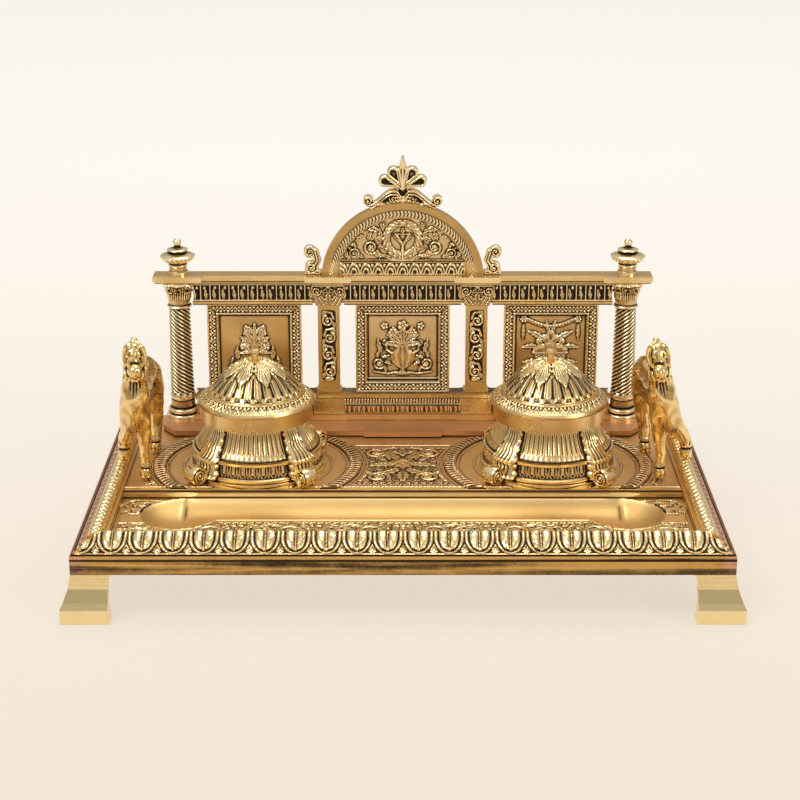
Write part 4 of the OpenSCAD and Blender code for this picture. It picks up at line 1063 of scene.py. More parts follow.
# Middle and hand of each cast scroll on the right side
PEN_SCROLLS = [(19 * (i - 0.18), PEN_STRIP_Y + (1 if i % 2 else -1) * 0.45 * PEN_SCROLL_R, -1 if i % 2 else 1)
    for i in range(1, 6)]
PEN_SCROLLS += [(PEN_HALF - 2 * PEN_SCROLL_R, PEN_STRIP_Y + 0.4 * PEN_SCROLL_R, 1),
    (PEN_HALF - 1.3 * PEN_SCROLL_R, LEDGE_FRONT - 1.3 * PEN_SCROLL_R, -1)]


def trough_sheet(u, v):
    """The hollow of the trough with its ends led softly into its middle, and a thin rim."""
    x = (2 * u - 1) * (TROUGH_END_X + TROUGH_END_R + 1.6)
    y = LEDGE_FRONT + 0.2 - (1 - v) * (2 * TROUGH_END_R + 2.6)
    ends, trunk = trough_bowls(x, y, 0.01)
    trunk = trunk + 9 * ease(abs(x) - 106, 7)
    gap = maximum(2.2 - abs(ends - trunk), 0)
    level = minimum(ends, trunk) - gap ** 2 / 8.8 + 0.5
    rim = ease(1.15 - level, 0.25)
    return stack([x, y, PEN_Z + where(level < 0.36, level, 0.36 * rim - 0.25 * (1 - rim))], 1)


def trough_edge_y(x):
    """Where the trough's front edge lies, with a little to spare."""
    ax = minimum(abs(x), TROUGH_END_X)
    bulge = sqrt(clip(TROUGH_END_R ** 2 - (ax - TROUGH_END_X) ** 2, 0, None))
    return minimum(LEDGE_FRONT - 1 - 2 * TROUGH_MID_R, LEDGE_FRONT - 1 - TROUGH_END_R - bulge) - 0.25


def pen_strip(x0, x1):
    def surface(u, v):
        x = x0 + u * (x1 - x0)
        y = PEN_FRONT + 0.1 + v * (trough_edge_y(x) - PEN_FRONT - 0.1)
        return stack([x, y, PEN_Z + pen_height(x, y)], 1)
    return surface


def pen_corner(u, v):
    """The pen panel's corner outside the trough's right end."""
    middle_y = LEDGE_FRONT - 1 - TROUGH_END_R
    y = middle_y - TROUGH_END_R + v * (2 * TROUGH_END_R - 2)
    inner = TROUGH_END_X + 0.3 + sqrt(clip(TROUGH_END_R ** 2 - (y - middle_y) ** 2, 0, None))
    x = inner + u * (PEN_HALF - 0.1 - inner)
    return stack([x, y, PEN_Z + pen_height(x, y)], 1)


class INKSTAND_OT_tray(bpy.types.Operator):
    """Carves the tray's borders, deck and pen panel"""

    bl_idname = "inkstand.tray"
    bl_label = "Tray carving"

    def execute(self, context):
        front = carved("front_leaf_border", 780, 38, front_border, (0, 0.5, -0.8))
        settle(front, "carved", passes=5, full=0.17)
        split, end = 48, 137.9
        sheets = ("centre", -split, split, 220), ("right", split, end, 168), ("left", -end, -split, 168)
        for name, x0, x1, cells in sheets:
            deck = carved("deck_relief_" + name, cells, 150, deck_sheet(x0, x1), (0, 0, -1.9))
            settle(deck, "deck", passes=6, bias=-0.22, lift=by_height(deck_level, 0.75, 0.9))
        pens = [carved("pen_relief_" + name, 370, 100, pen_strip(x0, x1), (0, 0, -1.6))
            for name, x0, x1 in (("left", -PEN_HALF + 0.1, 0), ("right", 0, PEN_HALF - 0.1))]
        corner = carved("pen_corner_right", 75, 108, pen_corner, (0, 0, -1.6))
        for piece in pens + [corner, mirrored(corner, "pen_corner_left")]:
            settle(piece, "carved", passes=6, lift=by_height(lambda p: p[:, Z] - PEN_Z, 1.1, 0.4))
        trough = carved("trough_lining", 250, 44, trough_sheet)
        wall = trough.modifiers.new("wall", "SOLIDIFY")
        wall.thickness, wall.offset = 0.35 * MM, -1
        apply_modifiers(trough)
        settle(trough, "trough", passes=2, full=0.3, bias=0.08)
        bead = carved("rope_bead_right", 560, 28, rope)
        in_edit(bead, weld, cap_open_edge)
        for piece in (bead, mirrored(bead, "rope_bead_left")):
            settle(piece, "carved", passes=7, full=0.22)
        row = carved("side_leaf_row_right", 420, 20, side_border, (-0.8, 0, -0.9))
        for piece in (row, mirrored(row, "side_leaf_row_left")):
            settle(piece, "flushed", passes=5, bias=-0.16, lift=by_height(over_slope, 0.5, 0.9))
        return {"FINISHED"}


# ---------- inkwells ----------

WELL_BASE_R = 35
NECK_R = 24.6
BAND_Z = DECK_Z + 5
FLARE_Z = BAND_Z + 7.5
NECK_Z = FLARE_Z + 14.5
FLUTES = 72
STRAP_HALF = 13.5
VOLUTE_R = 4.7


def flare_radius(z):
    t = clip((z - FLARE_Z - 0.4) / (NECK_Z - FLARE_Z - 0.4), 0, 1)
    return NECK_R + (WELL_BASE_R - 3.4 - NECK_R) * (1 - t) ** 1.7


WELL_OUTLINE = fine_outline(about(WELL_BASE_R, DECK_Z, (0, 0), (0.1, 1.0), (-0.1, 1.9), (-1.3, 2.4),
    (-0.7, 3.2), (-0.8, 4.3)) + about(WELL_BASE_R, BAND_Z, (-2, 0), (-3.2, 3.7)) + about(WELL_BASE_R, FLARE_Z,
    (-3.6, -1.6), (-2.1, -1.3), (-2.1, -0.1), (-3.4, 0.4)) + [(float(flare_radius(z)), z)
    for z in np.linspace(FLARE_Z + 0.9, NECK_Z, 16)] + [(NECK_R + 0.8, NECK_Z + 0.1),
    (NECK_R + 0.8, POT_TOP)], 0.48)
WELL_INSIDE = [(22.5, POT_TOP), (22.5, POT_TOP - 2), (19.4, POT_TOP - 2), (19.4, DECK_Z + 3), (0, DECK_Z + 3),
    (0, DECK_Z)]


def well_swell(points):
    """Flutes, strap leaves and the leaf band, as a change of radius round the well's own axis."""
    x, y, z = points.T
    reach, angle = hypot(x, y), degrees(arctan2(y, x))
    side = repeat(angle - 45, 90)
    turn = abs(side)
    climb = clip((z - FLARE_Z) / (NECK_Z - FLARE_Z), 0, 1)
    strap_half = STRAP_HALF - 3.5 * clip((z - BAND_Z) / (NECK_Z - BAND_Z), 0, 1) \
        + 0.6 * sin(z * 1.7) * (z < NECK_Z - 1)
    on_strap = ease(strap_half - turn, 1.2) * (z > BAND_Z - 1.5) * (z < NECK_Z + 0.01)
    # flutes with round feet
    cell = repeat(angle, 360 / FLUTES)
    reed = rounded(cell, 0.5 * 360 / FLUTES) ** 0.8
    slot = rounded(cell, 0.16 * 360 / FLUTES) * between(climb, 0.16, 0.93, 0.1, 0.05)
    in_flare = ease(z - FLARE_Z - 0.7, 0.7) * ease(NECK_Z - 0.3 - z, 0.5)
    fluted = in_flare * (0.85 * reed - 0.55 * slot - 0.35)
    # leaf and dart band
    v = clip((z - BAND_Z - 0.1) / 5.6, 0, 1)
    cell = repeat(angle, 9)
    half = 3.7 * round_end((0.62 - v) / 0.6)
    edge = half - abs(cell)
    tongue = over(0.8 * rounded(edge - 0.5, 0.6), rounded(cell, 1.5) * ease(v - 0.2, 0.2),
        0.7 * rounded(abs(cell) - 4.5, 0.55) * (v < 0.75))
    banded = ease(z - BAND_Z - 0.1, 0.3) * ease(FLARE_Z - 1.7 - z, 0.3) * (0.9 * tongue - 0.1)
    # acanthus strap: long ribs that fan out, over a lobed edge
    fan = side / (1.0 - 0.25 * climb)
    ribs = 0.5 + 0.5 * cos(TAU * fan / 3.9 + 0.9 * sin(z * 0.9))
    crown = rounded(turn, strap_half + 0.6)
    strap = on_strap * (0.5 + 1.7 * (1 - climb) ** 1.5 + 0.7 * crown + 0.55 * ribs)
    swell = where(on_strap > 0.02, strap, fluted + banded)
    outer = (reach > NECK_R - 0.5) & (z < NECK_Z + 0.02)
    return swollen(points, where(outer, swell, 0))


def volute_block(name):
    """A round block with a spiral on each face, its axis along Z, at the origin."""
    half, r = 3.8, VOLUTE_R - 0.2
    face = [(r * i / 26, half) for i in range(27)]
    edge = [(r + 0.35, half - 0.8), (r + 0.1, 0), (r + 0.35, -half + 0.8)]
    block = turned(name, face + edge + [(p, -h) for p, h in reversed(face)], 96)
    p = points_of(block)
    x, y, z = p.T
    spiral = volute(x, y, 0, 0, 0.86 * r, 2.2, 90, 1, 0.2)
    p[:, Z] += np.sign(z) * where((abs(z) > half - 0.1) & (hypot(x, y) < r - 0.05), 1.1 * spiral - 0.8, 0)
    set_points(block, p)
    return block


class INKSTAND_OT_inkwells(bpy.types.Operator):
    """Models the two fluted wells with their straps, volutes and hinge knuckles"""

    bl_idname = "inkstand.inkwells"
    bl_label = "Inkwells"

    def execute(self, context):
        well = turned("inkwell_body", WELL_OUTLINE + WELL_INSIDE, 360)
        set_points(well, well_swell(points_of(well)))
        parts = [well] + self.volutes() + self.knuckles()
        master = joined("inkwell_carved", parts)
        for side, sign in SIDES:
            piece = copied(master, "inkwell_carved_" + side, lambda p, s=sign: p + (s * WELL_X, WELL_Y, 0))
            settle(piece, "carved", angle=50, passes=5, full=0.14, bias=0.05)
            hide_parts("inkwell_" + side)
        bpy.data.objects.remove(master)
        return {"FINISHED"}

    def volutes(self):
        block = volute_block("volute_block")
        across = WELL_BASE_R - 1.3 - 4.5
        made = []
        diagonal = math.sqrt(0.5)
        for turn in range(4):
            c, s = round(math.cos(turn * math.pi / 2)), round(math.sin(turn * math.pi / 2))

            def place(p, c=c, s=s):
                px, py, pz = p.T
                q = stack([diagonal * (px + pz), diagonal * (px - pz), py], 1)
                q = q + (across, across - 3.2, DECK_Z + VOLUTE_R)
                return stack([c * q[:, 0] - s * q[:, 1], s * q[:, 0] + c * q[:, 1], q[:, 2]], 1)
            twin = copied(block, f"volute_{turn}", place)
            in_edit(twin, face_outwards)
            made.append(twin)
        bpy.data.objects.remove(block)
        return made

    def knuckles(self):
        hinge_y, hinge_z = middle("hinge_pin_right", Y) - WELL_Y, middle("hinge_pin_right", Z)
        width, wall_y = 3.2, 22.6
        made = []
        for x in (-5.4, 5.4):
            clear_selection()
            bpy.ops.mesh.primitive_cylinder_add(vertices=48, radius=2.2 * MM, depth=width * MM,
                location=metres(x, hinge_y, hinge_z), rotation=(0, math.pi / 2, 0))
            bpy.ops.object.transform_apply(location=True, rotation=True)
            made.append(bevelled(named("well_knuckle"), 0.25))
            clear_selection()
            bpy.ops.mesh.primitive_cube_add(size=1, location=metres(x, (hinge_y + wall_y) / 2, 58.3))
            bpy.ops.transform.resize(value=metres(width, hinge_y - wall_y, 2.2))
            bpy.ops.object.transform_apply(location=True, scale=True)
            made.append(bevelled(named("well_web"), 0.3))
        return made


# ---------- lids ----------

DOME_R = 22.8
DOME_Z = 72.6
DOME_H = high("lid_right", Z) - DOME_Z
DOME_TIP_R = 3.6
RIM_TOP = 68.6


def dome_point(t):
    """Radius and height on the dome, t from its foot to the knob's seat."""
    return (DOME_R - (DOME_R - DOME_TIP_R) * t, DOME_Z + DOME_H * (0.6 * (1 - (1 - t) ** 2.2) + 0.4 * t))


def dome_carving(angle, t):
    """Two tiers of leaves on the dome: round tongues below, ribbed lobed leaves above."""
    cell = repeat(angle, 360 / 26)
    width = 5.4
    half = width * round_end((0.2 - t) / 0.17)
    edge = half - abs(cell)
    tongue = over(0.75 * rounded(edge - 0.6, 0.75), 0.95 * rounded(cell, 3.5) * (edge > 1.7))
    tongue = tongue * (t > 0.03) * (t < 0.6)
    # upper tier
    cell = repeat(angle - 22.5, 45)
    down = clip((0.95 - t) / 0.62, 0, 1)
    outline = 21.5 * round_end((down - 0.42) / 0.56) * (1 - 0.12 * abs(sin(down * 11)))
    inside = ease(outline - abs(cell), 1.6)
    ribs = ease(0.5 + 0.5 * cos(TAU * cell / (3.6 + 3.6 * down)), 0.55)
    body = inside * (0.62 + 0.42 * rounded(cell, outline + 1)) * (0.42 + 0.58 * ribs)
    small = repeat(angle, 45)
    tip_half = 9 * round_end((down - 0.35) / 0.4)
    tip = ease(tip_half - abs(small), 1.2) * (0.85 + 0.25 * cos(TAU * small / 4))
    loop_reach = hypot(small / 7.5, (t - 0.74) / 0.1)
    loop = over(1.35 * rounded(loop_reach - 0.75, 0.3), 0.8 * rounded(loop_reach, 0.22))
    outline_dark = ease(1.3 - abs(outline - abs(cell)), 0.7) * (t > 0.3)
    tip_dark = ease(1.2 - abs(tip_half - abs(small)), 0.7) * (t > 0.45)
    carving = over(tongue * 0.8, body + 0.12 * (inside > 0.5), tip, loop)
    return carving * (1 - 0.75 * maximum(outline_dark, tip_dark) * (loop < 0.3))


def dome_relief(angle, t):
    carving = dome_carving(angle, t)
    return over(cast_leaves(angle, t) * (0.98 + 0.4 * carving), carving) * ease(0.995 - t, 0.02)


def cast_leaves(angle, t):
    """Height of the plain leaves that the cast dome carries, as a share of the carving's."""
    reach = DOME_R - (DOME_R - DOME_TIP_R) * t
    run = DOME_R - DOME_TIP_R
    # narrow leaves below, broad ones above, each as (reach, share of its half width)
    tiers = (
        (26, 0.29 * 360 / 26, [(DOME_R - 0.6 * run, 0), (DOME_R - 0.6 * run + 2, 1), (DOME_R - 1.6, 1),
            (DOME_R + 0.1, 0.66)], 0.66),
        (8, 18, [(DOME_TIP_R + 0.4, 1.02), (DOME_R - 0.3 * run - 5, 0.92), (DOME_R - 0.3 * run - 2.4, 0.58),
            (DOME_R - 0.3 * run + 0.2, 0.03)], 0.86),
    )
    out = np.zeros_like(angle)
    for count, half, shape, height in tiers:
        cell = abs(repeat(angle - 180 / count, 360 / count))
        r, share = np.array(shape).T
        edge = half * interp(reach, r, share, left=share[0], right=share[-1])
        on = ease(edge + 0.6 - cell, 0.7) * (reach > r[0] - 0.1) * (reach < r[-1] + 0.1)
        out = over(out, height * on)
    return out


def slope_relief(angle, t):
    """Zigzag round the lid's sloped border."""
    cell = repeat(angle, 360 / 40)
    zig = rounded(t - 0.5 - 0.62 * (0.5 - abs(cell) / 4.5), 0.13)
    seed = pearl(cell / 1.6, (t - 0.24) / 0.14, 1)
    seed_up = pearl((abs(cell) - 4.5) / 1.5, (t - 0.76) / 0.14, 1)
    rails = over(rounded(t - 0.04, 0.05), rounded(t - 0.96, 0.05))
    return over(zig, 0.85 * seed, 0.85 * seed_up, 0.9 * rails)


def shell_over(name, outer, thickness, relief, depth, steps):
    """A closed turned shell over a surface, its outer side raised by relief(angle, t)."""
    inner = [(r - thickness, z - 0.8) for r, z in reversed(outer)]
    piece = turned(name, outer + inner, steps)
    p = points_of(piece)
    reach = hypot(p[:, X], p[:, Y])
    edge = np.array(outer)
    nearest = np.argmin(abs(reach[:, None] - edge[:, 0]) + abs(p[:, Z, None] - edge[:, 1]), axis=1)
    on_outer = hypot(reach - edge[nearest, 0], p[:, Z] - edge[nearest, 1]) < 1e-3
    t = nearest / (len(outer) - 1)
    tangent = np.gradient(edge, axis=0)
    tangent /= hypot(*tangent.T)[:, None]
    raised = where(on_outer, depth * relief(degrees(arctan2(p[:, Y], p[:, X])), t), 0)
    p = swollen(p, raised * tangent[nearest, 1])
    p[:, Z] -= raised * tangent[nearest, 0]
    set_points(piece, p)
    return piece


class INKSTAND_OT_lids(bpy.types.Operator):
    """Dresses the two lids with their leaf dome and zigzag border"""

    bl_idname = "inkstand.lids"
    bl_label = "Lids"

    def execute(self, context):
        steps = 44
        outer = [(dome_point(i / steps)[0], dome_point(i / steps)[1] + 0.05) for i in range(steps + 1)]
        dome = shell_over("dome_leaves", outer, 0.4, dome_relief, 1.15, 288)
        foot, top = (29.2, RIM_TOP - 0.05), (24.2, 72.05)
        steps = 18
        outer = [tuple(np.array(foot) + (np.array(top) - foot) * i / steps + (0.05, 0.06))
            for i in range(steps + 1)]
        slope = shell_over("lid_zigzag", outer, 0.5, slope_relief, 0.5, 432)
        for side, sign in SIDES:
            lifts = (self.over_dome(sign * WELL_X), lambda p: np.full(len(p), -0.12))
            for master, lift in zip((dome, slope), lifts):
                piece = copied(master, f"{master.name}_{side}", lambda p, s=sign: p + (s * WELL_X, WELL_Y, 0))
                settle(piece, "carved", f"lid_{side}_body", "polished_brass", 50, passes=5, full=0.13,
                    lift=lift)
        for master in (dome, slope):
            bpy.data.objects.remove(master)
        return {"FINISHED"}

    def over_dome(self, centre_x):
        """The lines between the leaves are dark, and their backs bright."""
        def lift(points):
            x, y, z = points.T
            reach = hypot(x - centre_x, y - WELL_Y)
            t = (DOME_R - reach) / (DOME_R - DOME_TIP_R)
            tone = clip(dome_carving(degrees(arctan2(y - WELL_Y, x - centre_x)), t) / 0.85, 0, 1)
            return (0.72 * tone - 0.6) * ease(t - 0.005, 0.02)
        return lift


# ---------- gallery ----------

FRAME_W = 6
RECESS = 1.5
PILASTER_FRONT = low("gallery_rail", Y) + 2.8
ENTAB_FRONT = low("entablature", Y)
RAIL_FRONT = GALLERY_Y - 5
PED_FRONT = low("pediment", Y)
COLUMN_R = high("column_right", X) - COLUMN_X
SHAFT_FOOT_R = 6.15
SHAFT_TOP_R = 5.35
CAPITAL_Z = CORNICE_Z - 12


def facing(x0, x1, z0, z1, face_y, height):
    """An upright sheet that looks forward, raised by height(x, z)."""
    def surface(u, v):
        x, z = x0 + u * (x1 - x0), z0 + v * (z1 - z0)
        return stack([x, face_y - height(x, z), z], 1)
    return surface


def upright(name, x0, x1, z0, z1, face_y, height, cell=0.24, depth=0.6):
    """A carved upright sheet, closed behind."""
    return carved(name, max(2, round((x1 - x0) / cell)), max(2, round((z1 - z0) / cell)),
        facing(x0, x1, z0, z1, face_y, height), (0, depth, 0))


# --- plaques ---


def wavy_leaves(along, t, pitch=3.9):
    """Zigzag of small leaves across a band, t from 0 at its outer edge to 1."""
    cell = repeat(along, pitch) / pitch
    wave = 1 - 2 * abs(cell)
    line = rounded(t - 0.16 - 0.6 * wave, 0.17)
    bud = pearl(cell * pitch / 0.75, (t - 0.2) / 0.2, 1.0)
    far = (0.5 - abs(cell)) * pitch
    drop = pearl(far / 0.75, (t - 0.74) / 0.22, 1.0)
    return over(line, 0.9 * bud, drop)


def plaque_frame(x, z, half_w, half_h):
    """The leaf frame, and how far inside its sunk field a point lies."""
    dx, dz = half_w - abs(x), half_h - abs(z)
    edge = minimum(dx, dz)
    along = where(dz < dx, x, z)
    band = between(edge, 1.0, 4.9, 0.25)
    height = over(0.5 * rounded(edge - 0.45, 0.5), 0.85 * band * wavy_leaves(along, (edge - 1.1) / 3.8),
        0.6 * rounded(edge - 5.35, 0.4))
    return height - 0.12, edge - FRAME_W


def turned_shape(x, z, x0, profile, gadroons=0.0):
    """Half-round relief of a turned body; profile is a chain of (height, radius)."""
    heights, radii = np.array(profile, float).T
    half = interp(z, heights, radii, left=0, right=0)
    ribs = 1 - gadroons * (0.5 - 0.5 * cos((x - x0) / maximum(half, 0.3) * 11))
    return rounded(x - x0, half + 1e-3) * ribs * (half > 0.05)


def spray(x, z, x0, z0, reach, count, spread, width):
    """A fan of leaves that rises from one point."""
    out = np.zeros_like(x)
    for i in range(count):
        share = 2 * i / (count - 1) - 1
        length = reach * (1 - 0.28 * share ** 2)
        out = over(out, leaf(x, z, x0, z0, 90 - spread * share, length, width, 4, -0.22 * share))
    return out


def urn_motif(x, z):
    """A handled urn on a plinth, with a bouquet and a scroll on each side."""
    ax = abs(x)
    body = turned_shape(x, z, 0, [(-15, 4.6), (-13.6, 4.6), (-13.4, 1.6), (-11.6, 1.3), (-10.4, 3.4),
        (-7, 6.2), (-3.6, 6.6), (-1.4, 4.4), (0, 3.8), (0.8, 5.4), (1.6, 5.4)], 0.35)
    handles = over(stem(ax, z, [(5.6, -3), (8.6, -1), (8.6, 2.4), (5.4, 1.4)], 0.7), volute(ax, z, 9.2, 3.2,
        1.7, 1.4, 200, 1, 0.3))
    flowers = over(spray(x, z, 0, 1.2, 12.6, 7, 66, 4.6), rosette(ax, z, 5.2, 8.4, 2.7),
        rosette(x, z, 0, 12.4, 3.0, 5), rosette(ax, z, 9.6, 12.2, 2.1, 5))
    sides = over(scroll_branch(ax, z, 12.6, -8.6, 9.5, 1),
        stem(ax, z, [(3, -13.6), (8, -14.4), (15.4, -13.2)], 0.6), leaf(ax, z, 11, -2.6, 62, 8, 3.4, 3, 0.2))
    return over(1.2 * body, handles, flowers, sides)


def laurel_motif(x, z):
    """A potted laurel tree between two small scrolls."""
    ax = abs(x)
    pot = turned_shape(x, z, 0, [(-15.4, 3.6), (-14.6, 3.6), (-14.2, 2.8), (-9.4, 5.0), (-9, 5.9),
        (-7.8, 5.9), (-7.7, 4.6)], 0.3)
    trunk = stem(x, z, [(0, -8), (0.6, -3), (-0.4, 2), (0, 13)], 0.75)
    crown = spray(x, z, 0, 0, 14, 5, 40, 4.2)
    for i, height in enumerate((-3.4, 0.6, 4.6, 8.4)):
        size = 9.6 - 1.1 * i
        crown = over(crown, leaves(ax, z, (0.4, height, 34, size, 3.6, 4, 0.14),
            (0.4, height + 1, 4, size * 0.9, 3.2, 4, -0.14)), pearl(ax - size * 0.72, z - height - 3.2, 1.0))
    sides = over(scroll_branch(ax, z, 12, -11, 7.5, 1), leaf(ax, z, 9, -6.6, 75, 7.5, 3.2, 3, 0.2))
    return over(1.15 * pot, trunk, crown, sides)


def basket_motif(x, z):
    """A woven basket of fruit under a swag."""
    ax = abs(x)
    half = interp(z, [-14, -13, -4, -2.6], [6.4, 5.2, 8.4, 8.8], left=0, right=0)
    weave = 0.75 + 0.25 * sin(z * 3.4) * np.sign(sin(x * 2.4))
    basket = rounded(x, half + 1e-3) ** 0.6 * weave * (half > 0.1)
    rim = over(stem(ax, z, [(0, -2.6), (9, -2.6)], 0.85), stem(ax, z, [(0, -13.8), (6.4, -13.8)], 0.8))
    fruit = np.zeros_like(x)
    for fx, fz, r in ((0, 1.4, 3.6), (4.8, 0.2, 2.7), (7.6, -0.8, 1.8), (2.6, 5.4, 2.4), (0, 8.2, 2.2),
            (6, 3.8, 1.9)):
        fruit = over(fruit, pearl(ax - fx, z - fz, r))
    foliage = over(leaves(ax, z, (4, 5, 40, 9, 4, 4, -0.2), (7, 0.6, 12, 8, 3.6, 4, -0.25),
        (1, 9, 78, 6.5, 3, 3), (7.5, -6.4, -30, 7, 3.4, 3, 0.3)))
    swag = over(stem(ax, z, [(0, 12.0), (5, 12.6), (10, 14.6), (13.6, 16.4)], 1.05)
        * (0.7 + 0.3 * cos(ax * 4)), rosette(ax, z, 14.4, 16, 2.2), leaf(ax, z, 14.4, 13.6, -88, 10, 2.6, 4))
    return over(1.1 * basket, rim, 1.1 * fruit, foliage, swag)


def plaque(name, centre_x, motif):
    mid_z = (RAIL_Z + PANEL_TOP) / 2
    half_w, half_h = PANEL_W / 2, (PANEL_TOP - RAIL_Z) / 2

    def height(x, z):
        dx, dz = x - centre_x, z - mid_z
        raised, inside = plaque_frame(dx, dz, half_w, half_h)
        dip = ease(inside / 0.35)
        ledge = 0.5 * rounded(dz + 17.2, 0.5)
        scene = 1.25 * over(motif(dx, dz), ledge) * ease(inside - 0.5, 0.5)
        return (1 - dip) * raised + dip * (scene - RECESS)

    return upright(name, centre_x - half_w, centre_x + half_w, RAIL_Z, PANEL_TOP, PANEL_FRONT, height, 0.28,
        5.2)


class INKSTAND_OT_plaques(bpy.types.Operator):
    """Carves the three framed plaques between the columns"""

    bl_idname = "inkstand.plaques"
    bl_label = "Plaques"

    def execute(self, context):
        for name, place, motif in (("left", -SIDE_PANEL_X, laurel_motif), ("centre", 0, urn_motif),
                ("right", SIDE_PANEL_X, basket_motif)):
            piece = plaque("plaque_" + name, place, motif)
            settle(piece, "plaque", passes=4, full=0.15, bias=0.08)
            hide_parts("panel_" + name)
        return {"FINISHED"}


# --- pilasters, entablature and rail ---


def vine(x, z, hand, pitch=9.5, foot=57.2):
    """Running scroll with alternate C volutes, x across a strip 8.5 wide."""
    height = np.zeros_like(x)
    for i in range(4):
        side = hand if i % 2 == 0 else -hand
        zc = foot + pitch * (i + 0.55)
        height = over(height, volute(x, z, -0.35 * side, zc, 3.1, 1.55, 100 if side > 0 else 80, side, 0.3),
            leaves(x, z, (-3.4 * side, zc + 2.4, 60 if side > 0 else 120, 4.2, 2.6, 2), (3.4 * side, zc - 3.8,
            110 if side > 0 else 70, 4.2, 2.4, 2)),
            stem(x, z, [(2.6 * side, zc + 1.2), (1.4 * side, zc + 4.4), (-2.8 * side, zc + 5.2)], 0.75))
    return over(height, pearl(x / 2.6, (z - foot - 1) / 1.5, 1))


def pilaster_capital(x, z):
    """Leaves and corner volutes of a pilaster's capital, z from 0 at its foot to 12."""
    ax = abs(x)
    foliage = over(leaf(x, z, 0, 0.2, 90, 8.6, 4.6, 4), leaves(ax, z, (1.4, 0.2, 66, 8.2, 4.2, 4, -0.16),
        (3.8, 0.2, 70, 7.4, 3.8, 4, -0.22), (6.2, 0.2, 84, 5.6, 2.6, 3)))
    curls = over(volute(ax, z, 6.0, 8.4, 2.5, 1.6, 160, 1, 0.28), volute(ax, z, 1.7, 8.9, 1.6, 1.3, 20, -1,
        0.3))
    return over(foliage, 1.2 * curls, pearl(x / 1.2, (z - 10.6) / 1.2, 1), 0.8 * rounded(z - 11.3, 0.5))


def entablature_boxes(x, z, centre):
    """Bright upright fillets with a dark box and a small tongue between them."""
    pitch = sizes().flute_pitch / MM
    low_z, high_z = PANEL_TOP + 2.4, CORNICE_Z - 1.3
    cell = repeat(x - centre - pitch / 2, pitch)
    fillet = ease(0.42 - abs(cell), 0.12)
    inner = repeat(x - centre, pitch)
    index = np.round((x - centre) / pitch)
    sway = 0.55 * sin(index * 2.3)
    mid_z = (low_z + high_z) / 2
    tongue = over(leaf(inner, z, sway, low_z + 0.7, 97, 5.6, 2.4, 2), pearl((inner + sway) / 0.8,
        (z - mid_z - 2.4) / 1.0, 1))
    border = over(ease(low_z + 0.55 - z, 0.15), ease(z - high_z + 0.45, 0.15))
    return over(0.78 * over(fillet, border), 0.5 * tongue)


def rail_bands(x, z):
    """Small beading over a row of upright leaves."""
    cell = repeat(x, 1.55)
    upper = over(pearl(cell / 0.62, (z - 46.2) / 1.3, 1), 0.7 * rounded(z - 47.9, 0.3),
        0.7 * rounded(z - 44.5, 0.3))
    slot = repeat(x, 2.6)
    tongue = rounded(slot, 1.05 * sqrt(clip(1 - ((z - 42.6) / 2.6) ** 2 * (z < 42.6), 0, 1)) + 1e-3)
    lower = over(tongue * (0.6 + 0.4 * rounded(slot, 0.4)), 0.6 * rounded(abs(slot) - 1.3, 0.22))
    return over(0.55 * upper, 0.9 * lower * between(z, 39.8, 43.8, 0.2))


class INKSTAND_OT_gallery_carving(bpy.types.Operator):
    """Carves the pilasters, the entablature's boxes and the rail's bands"""

    bl_idname = "inkstand.gallery_carving"
    bl_label = "Gallery carving"

    def execute(self, context):
        for side, sign in SIDES:
            centre = sign * PILASTER_X
            strip = upright(f"pilaster_vine_{side}", centre - 4.2, centre + 4.2, RAIL_Z + 6.05, RAIL_Z + 46.2,
                PILASTER_FRONT + 0.92, lambda x, z, c=centre, s=sign: 1.15 * vine(x - c, z, s), 0.17, 1.5)
            settle(strip, "gallery", passes=5, full=0.18, lift=in_front(PILASTER_FRONT + 0.9, 1.0, 0.5))
            cap = carved(f"pilaster_capital_{side}", 116, 84, self.capital(centre), (0, 1.9, 0))
            settle(cap, "gallery", passes=7, full=0.2)
        for name, x0, x1 in self.bays(8.3, COLUMN_X - COLUMN_R + 0.6):
            middle_x = (x0 + x1) / 2
            boxes = upright(f"entablature_boxes_{name}", x0, x1, PANEL_TOP + 2.25, CORNICE_Z - 1.25,
                ENTAB_FRONT + 0.76, lambda x, z, c=middle_x: entablature_boxes(x, z, c), 0.2, 1.2)
            settle(boxes, "gallery", passes=6, full=0.18, bias=-0.04,
                lift=in_front(ENTAB_FRONT + 0.7, 0.55, 0.7))
        for name, x0, x1 in self.bays(8.2, COLUMN_X - 9):
            bands = upright(f"rail_bands_{name}", x0, x1, STEP_Z + 4.1, RAIL_Z - 3.1, RAIL_FRONT + 1.12,
                rail_bands, 0.23, 1.3)
            settle(bands, "gallery", passes=5, full=0.14, lift=in_front(RAIL_FRONT + 1.1, 0.6, 0.45))
        return {"FINISHED"}

    def bays(self, gap, outer):
        """Name, left and right of the three bays, each a gap away from the middle of a pilaster."""
        inner, centre = PILASTER_X + gap, PILASTER_X - gap
        return ("left", -outer, -inner), ("centre", -centre, centre), ("right", inner, outer)

    def capital(self, centre):
        def surface(u, v):
            z = 0.5 + 11.4 * v
            half = 6.9 + 2.0 * ease(v - 0.25, 0.5)
            x = (2 * u - 1) * half
            edge = ease(1 - abs(2 * u - 1), 0.05)
            y = ENTAB_FRONT - 1.75 - 0.85 * v - 1.15 * pilaster_capital(x, z) * edge
            return stack([centre + x, y, PANEL_TOP + z], 1)
        return surface


# --- columns and finials ---


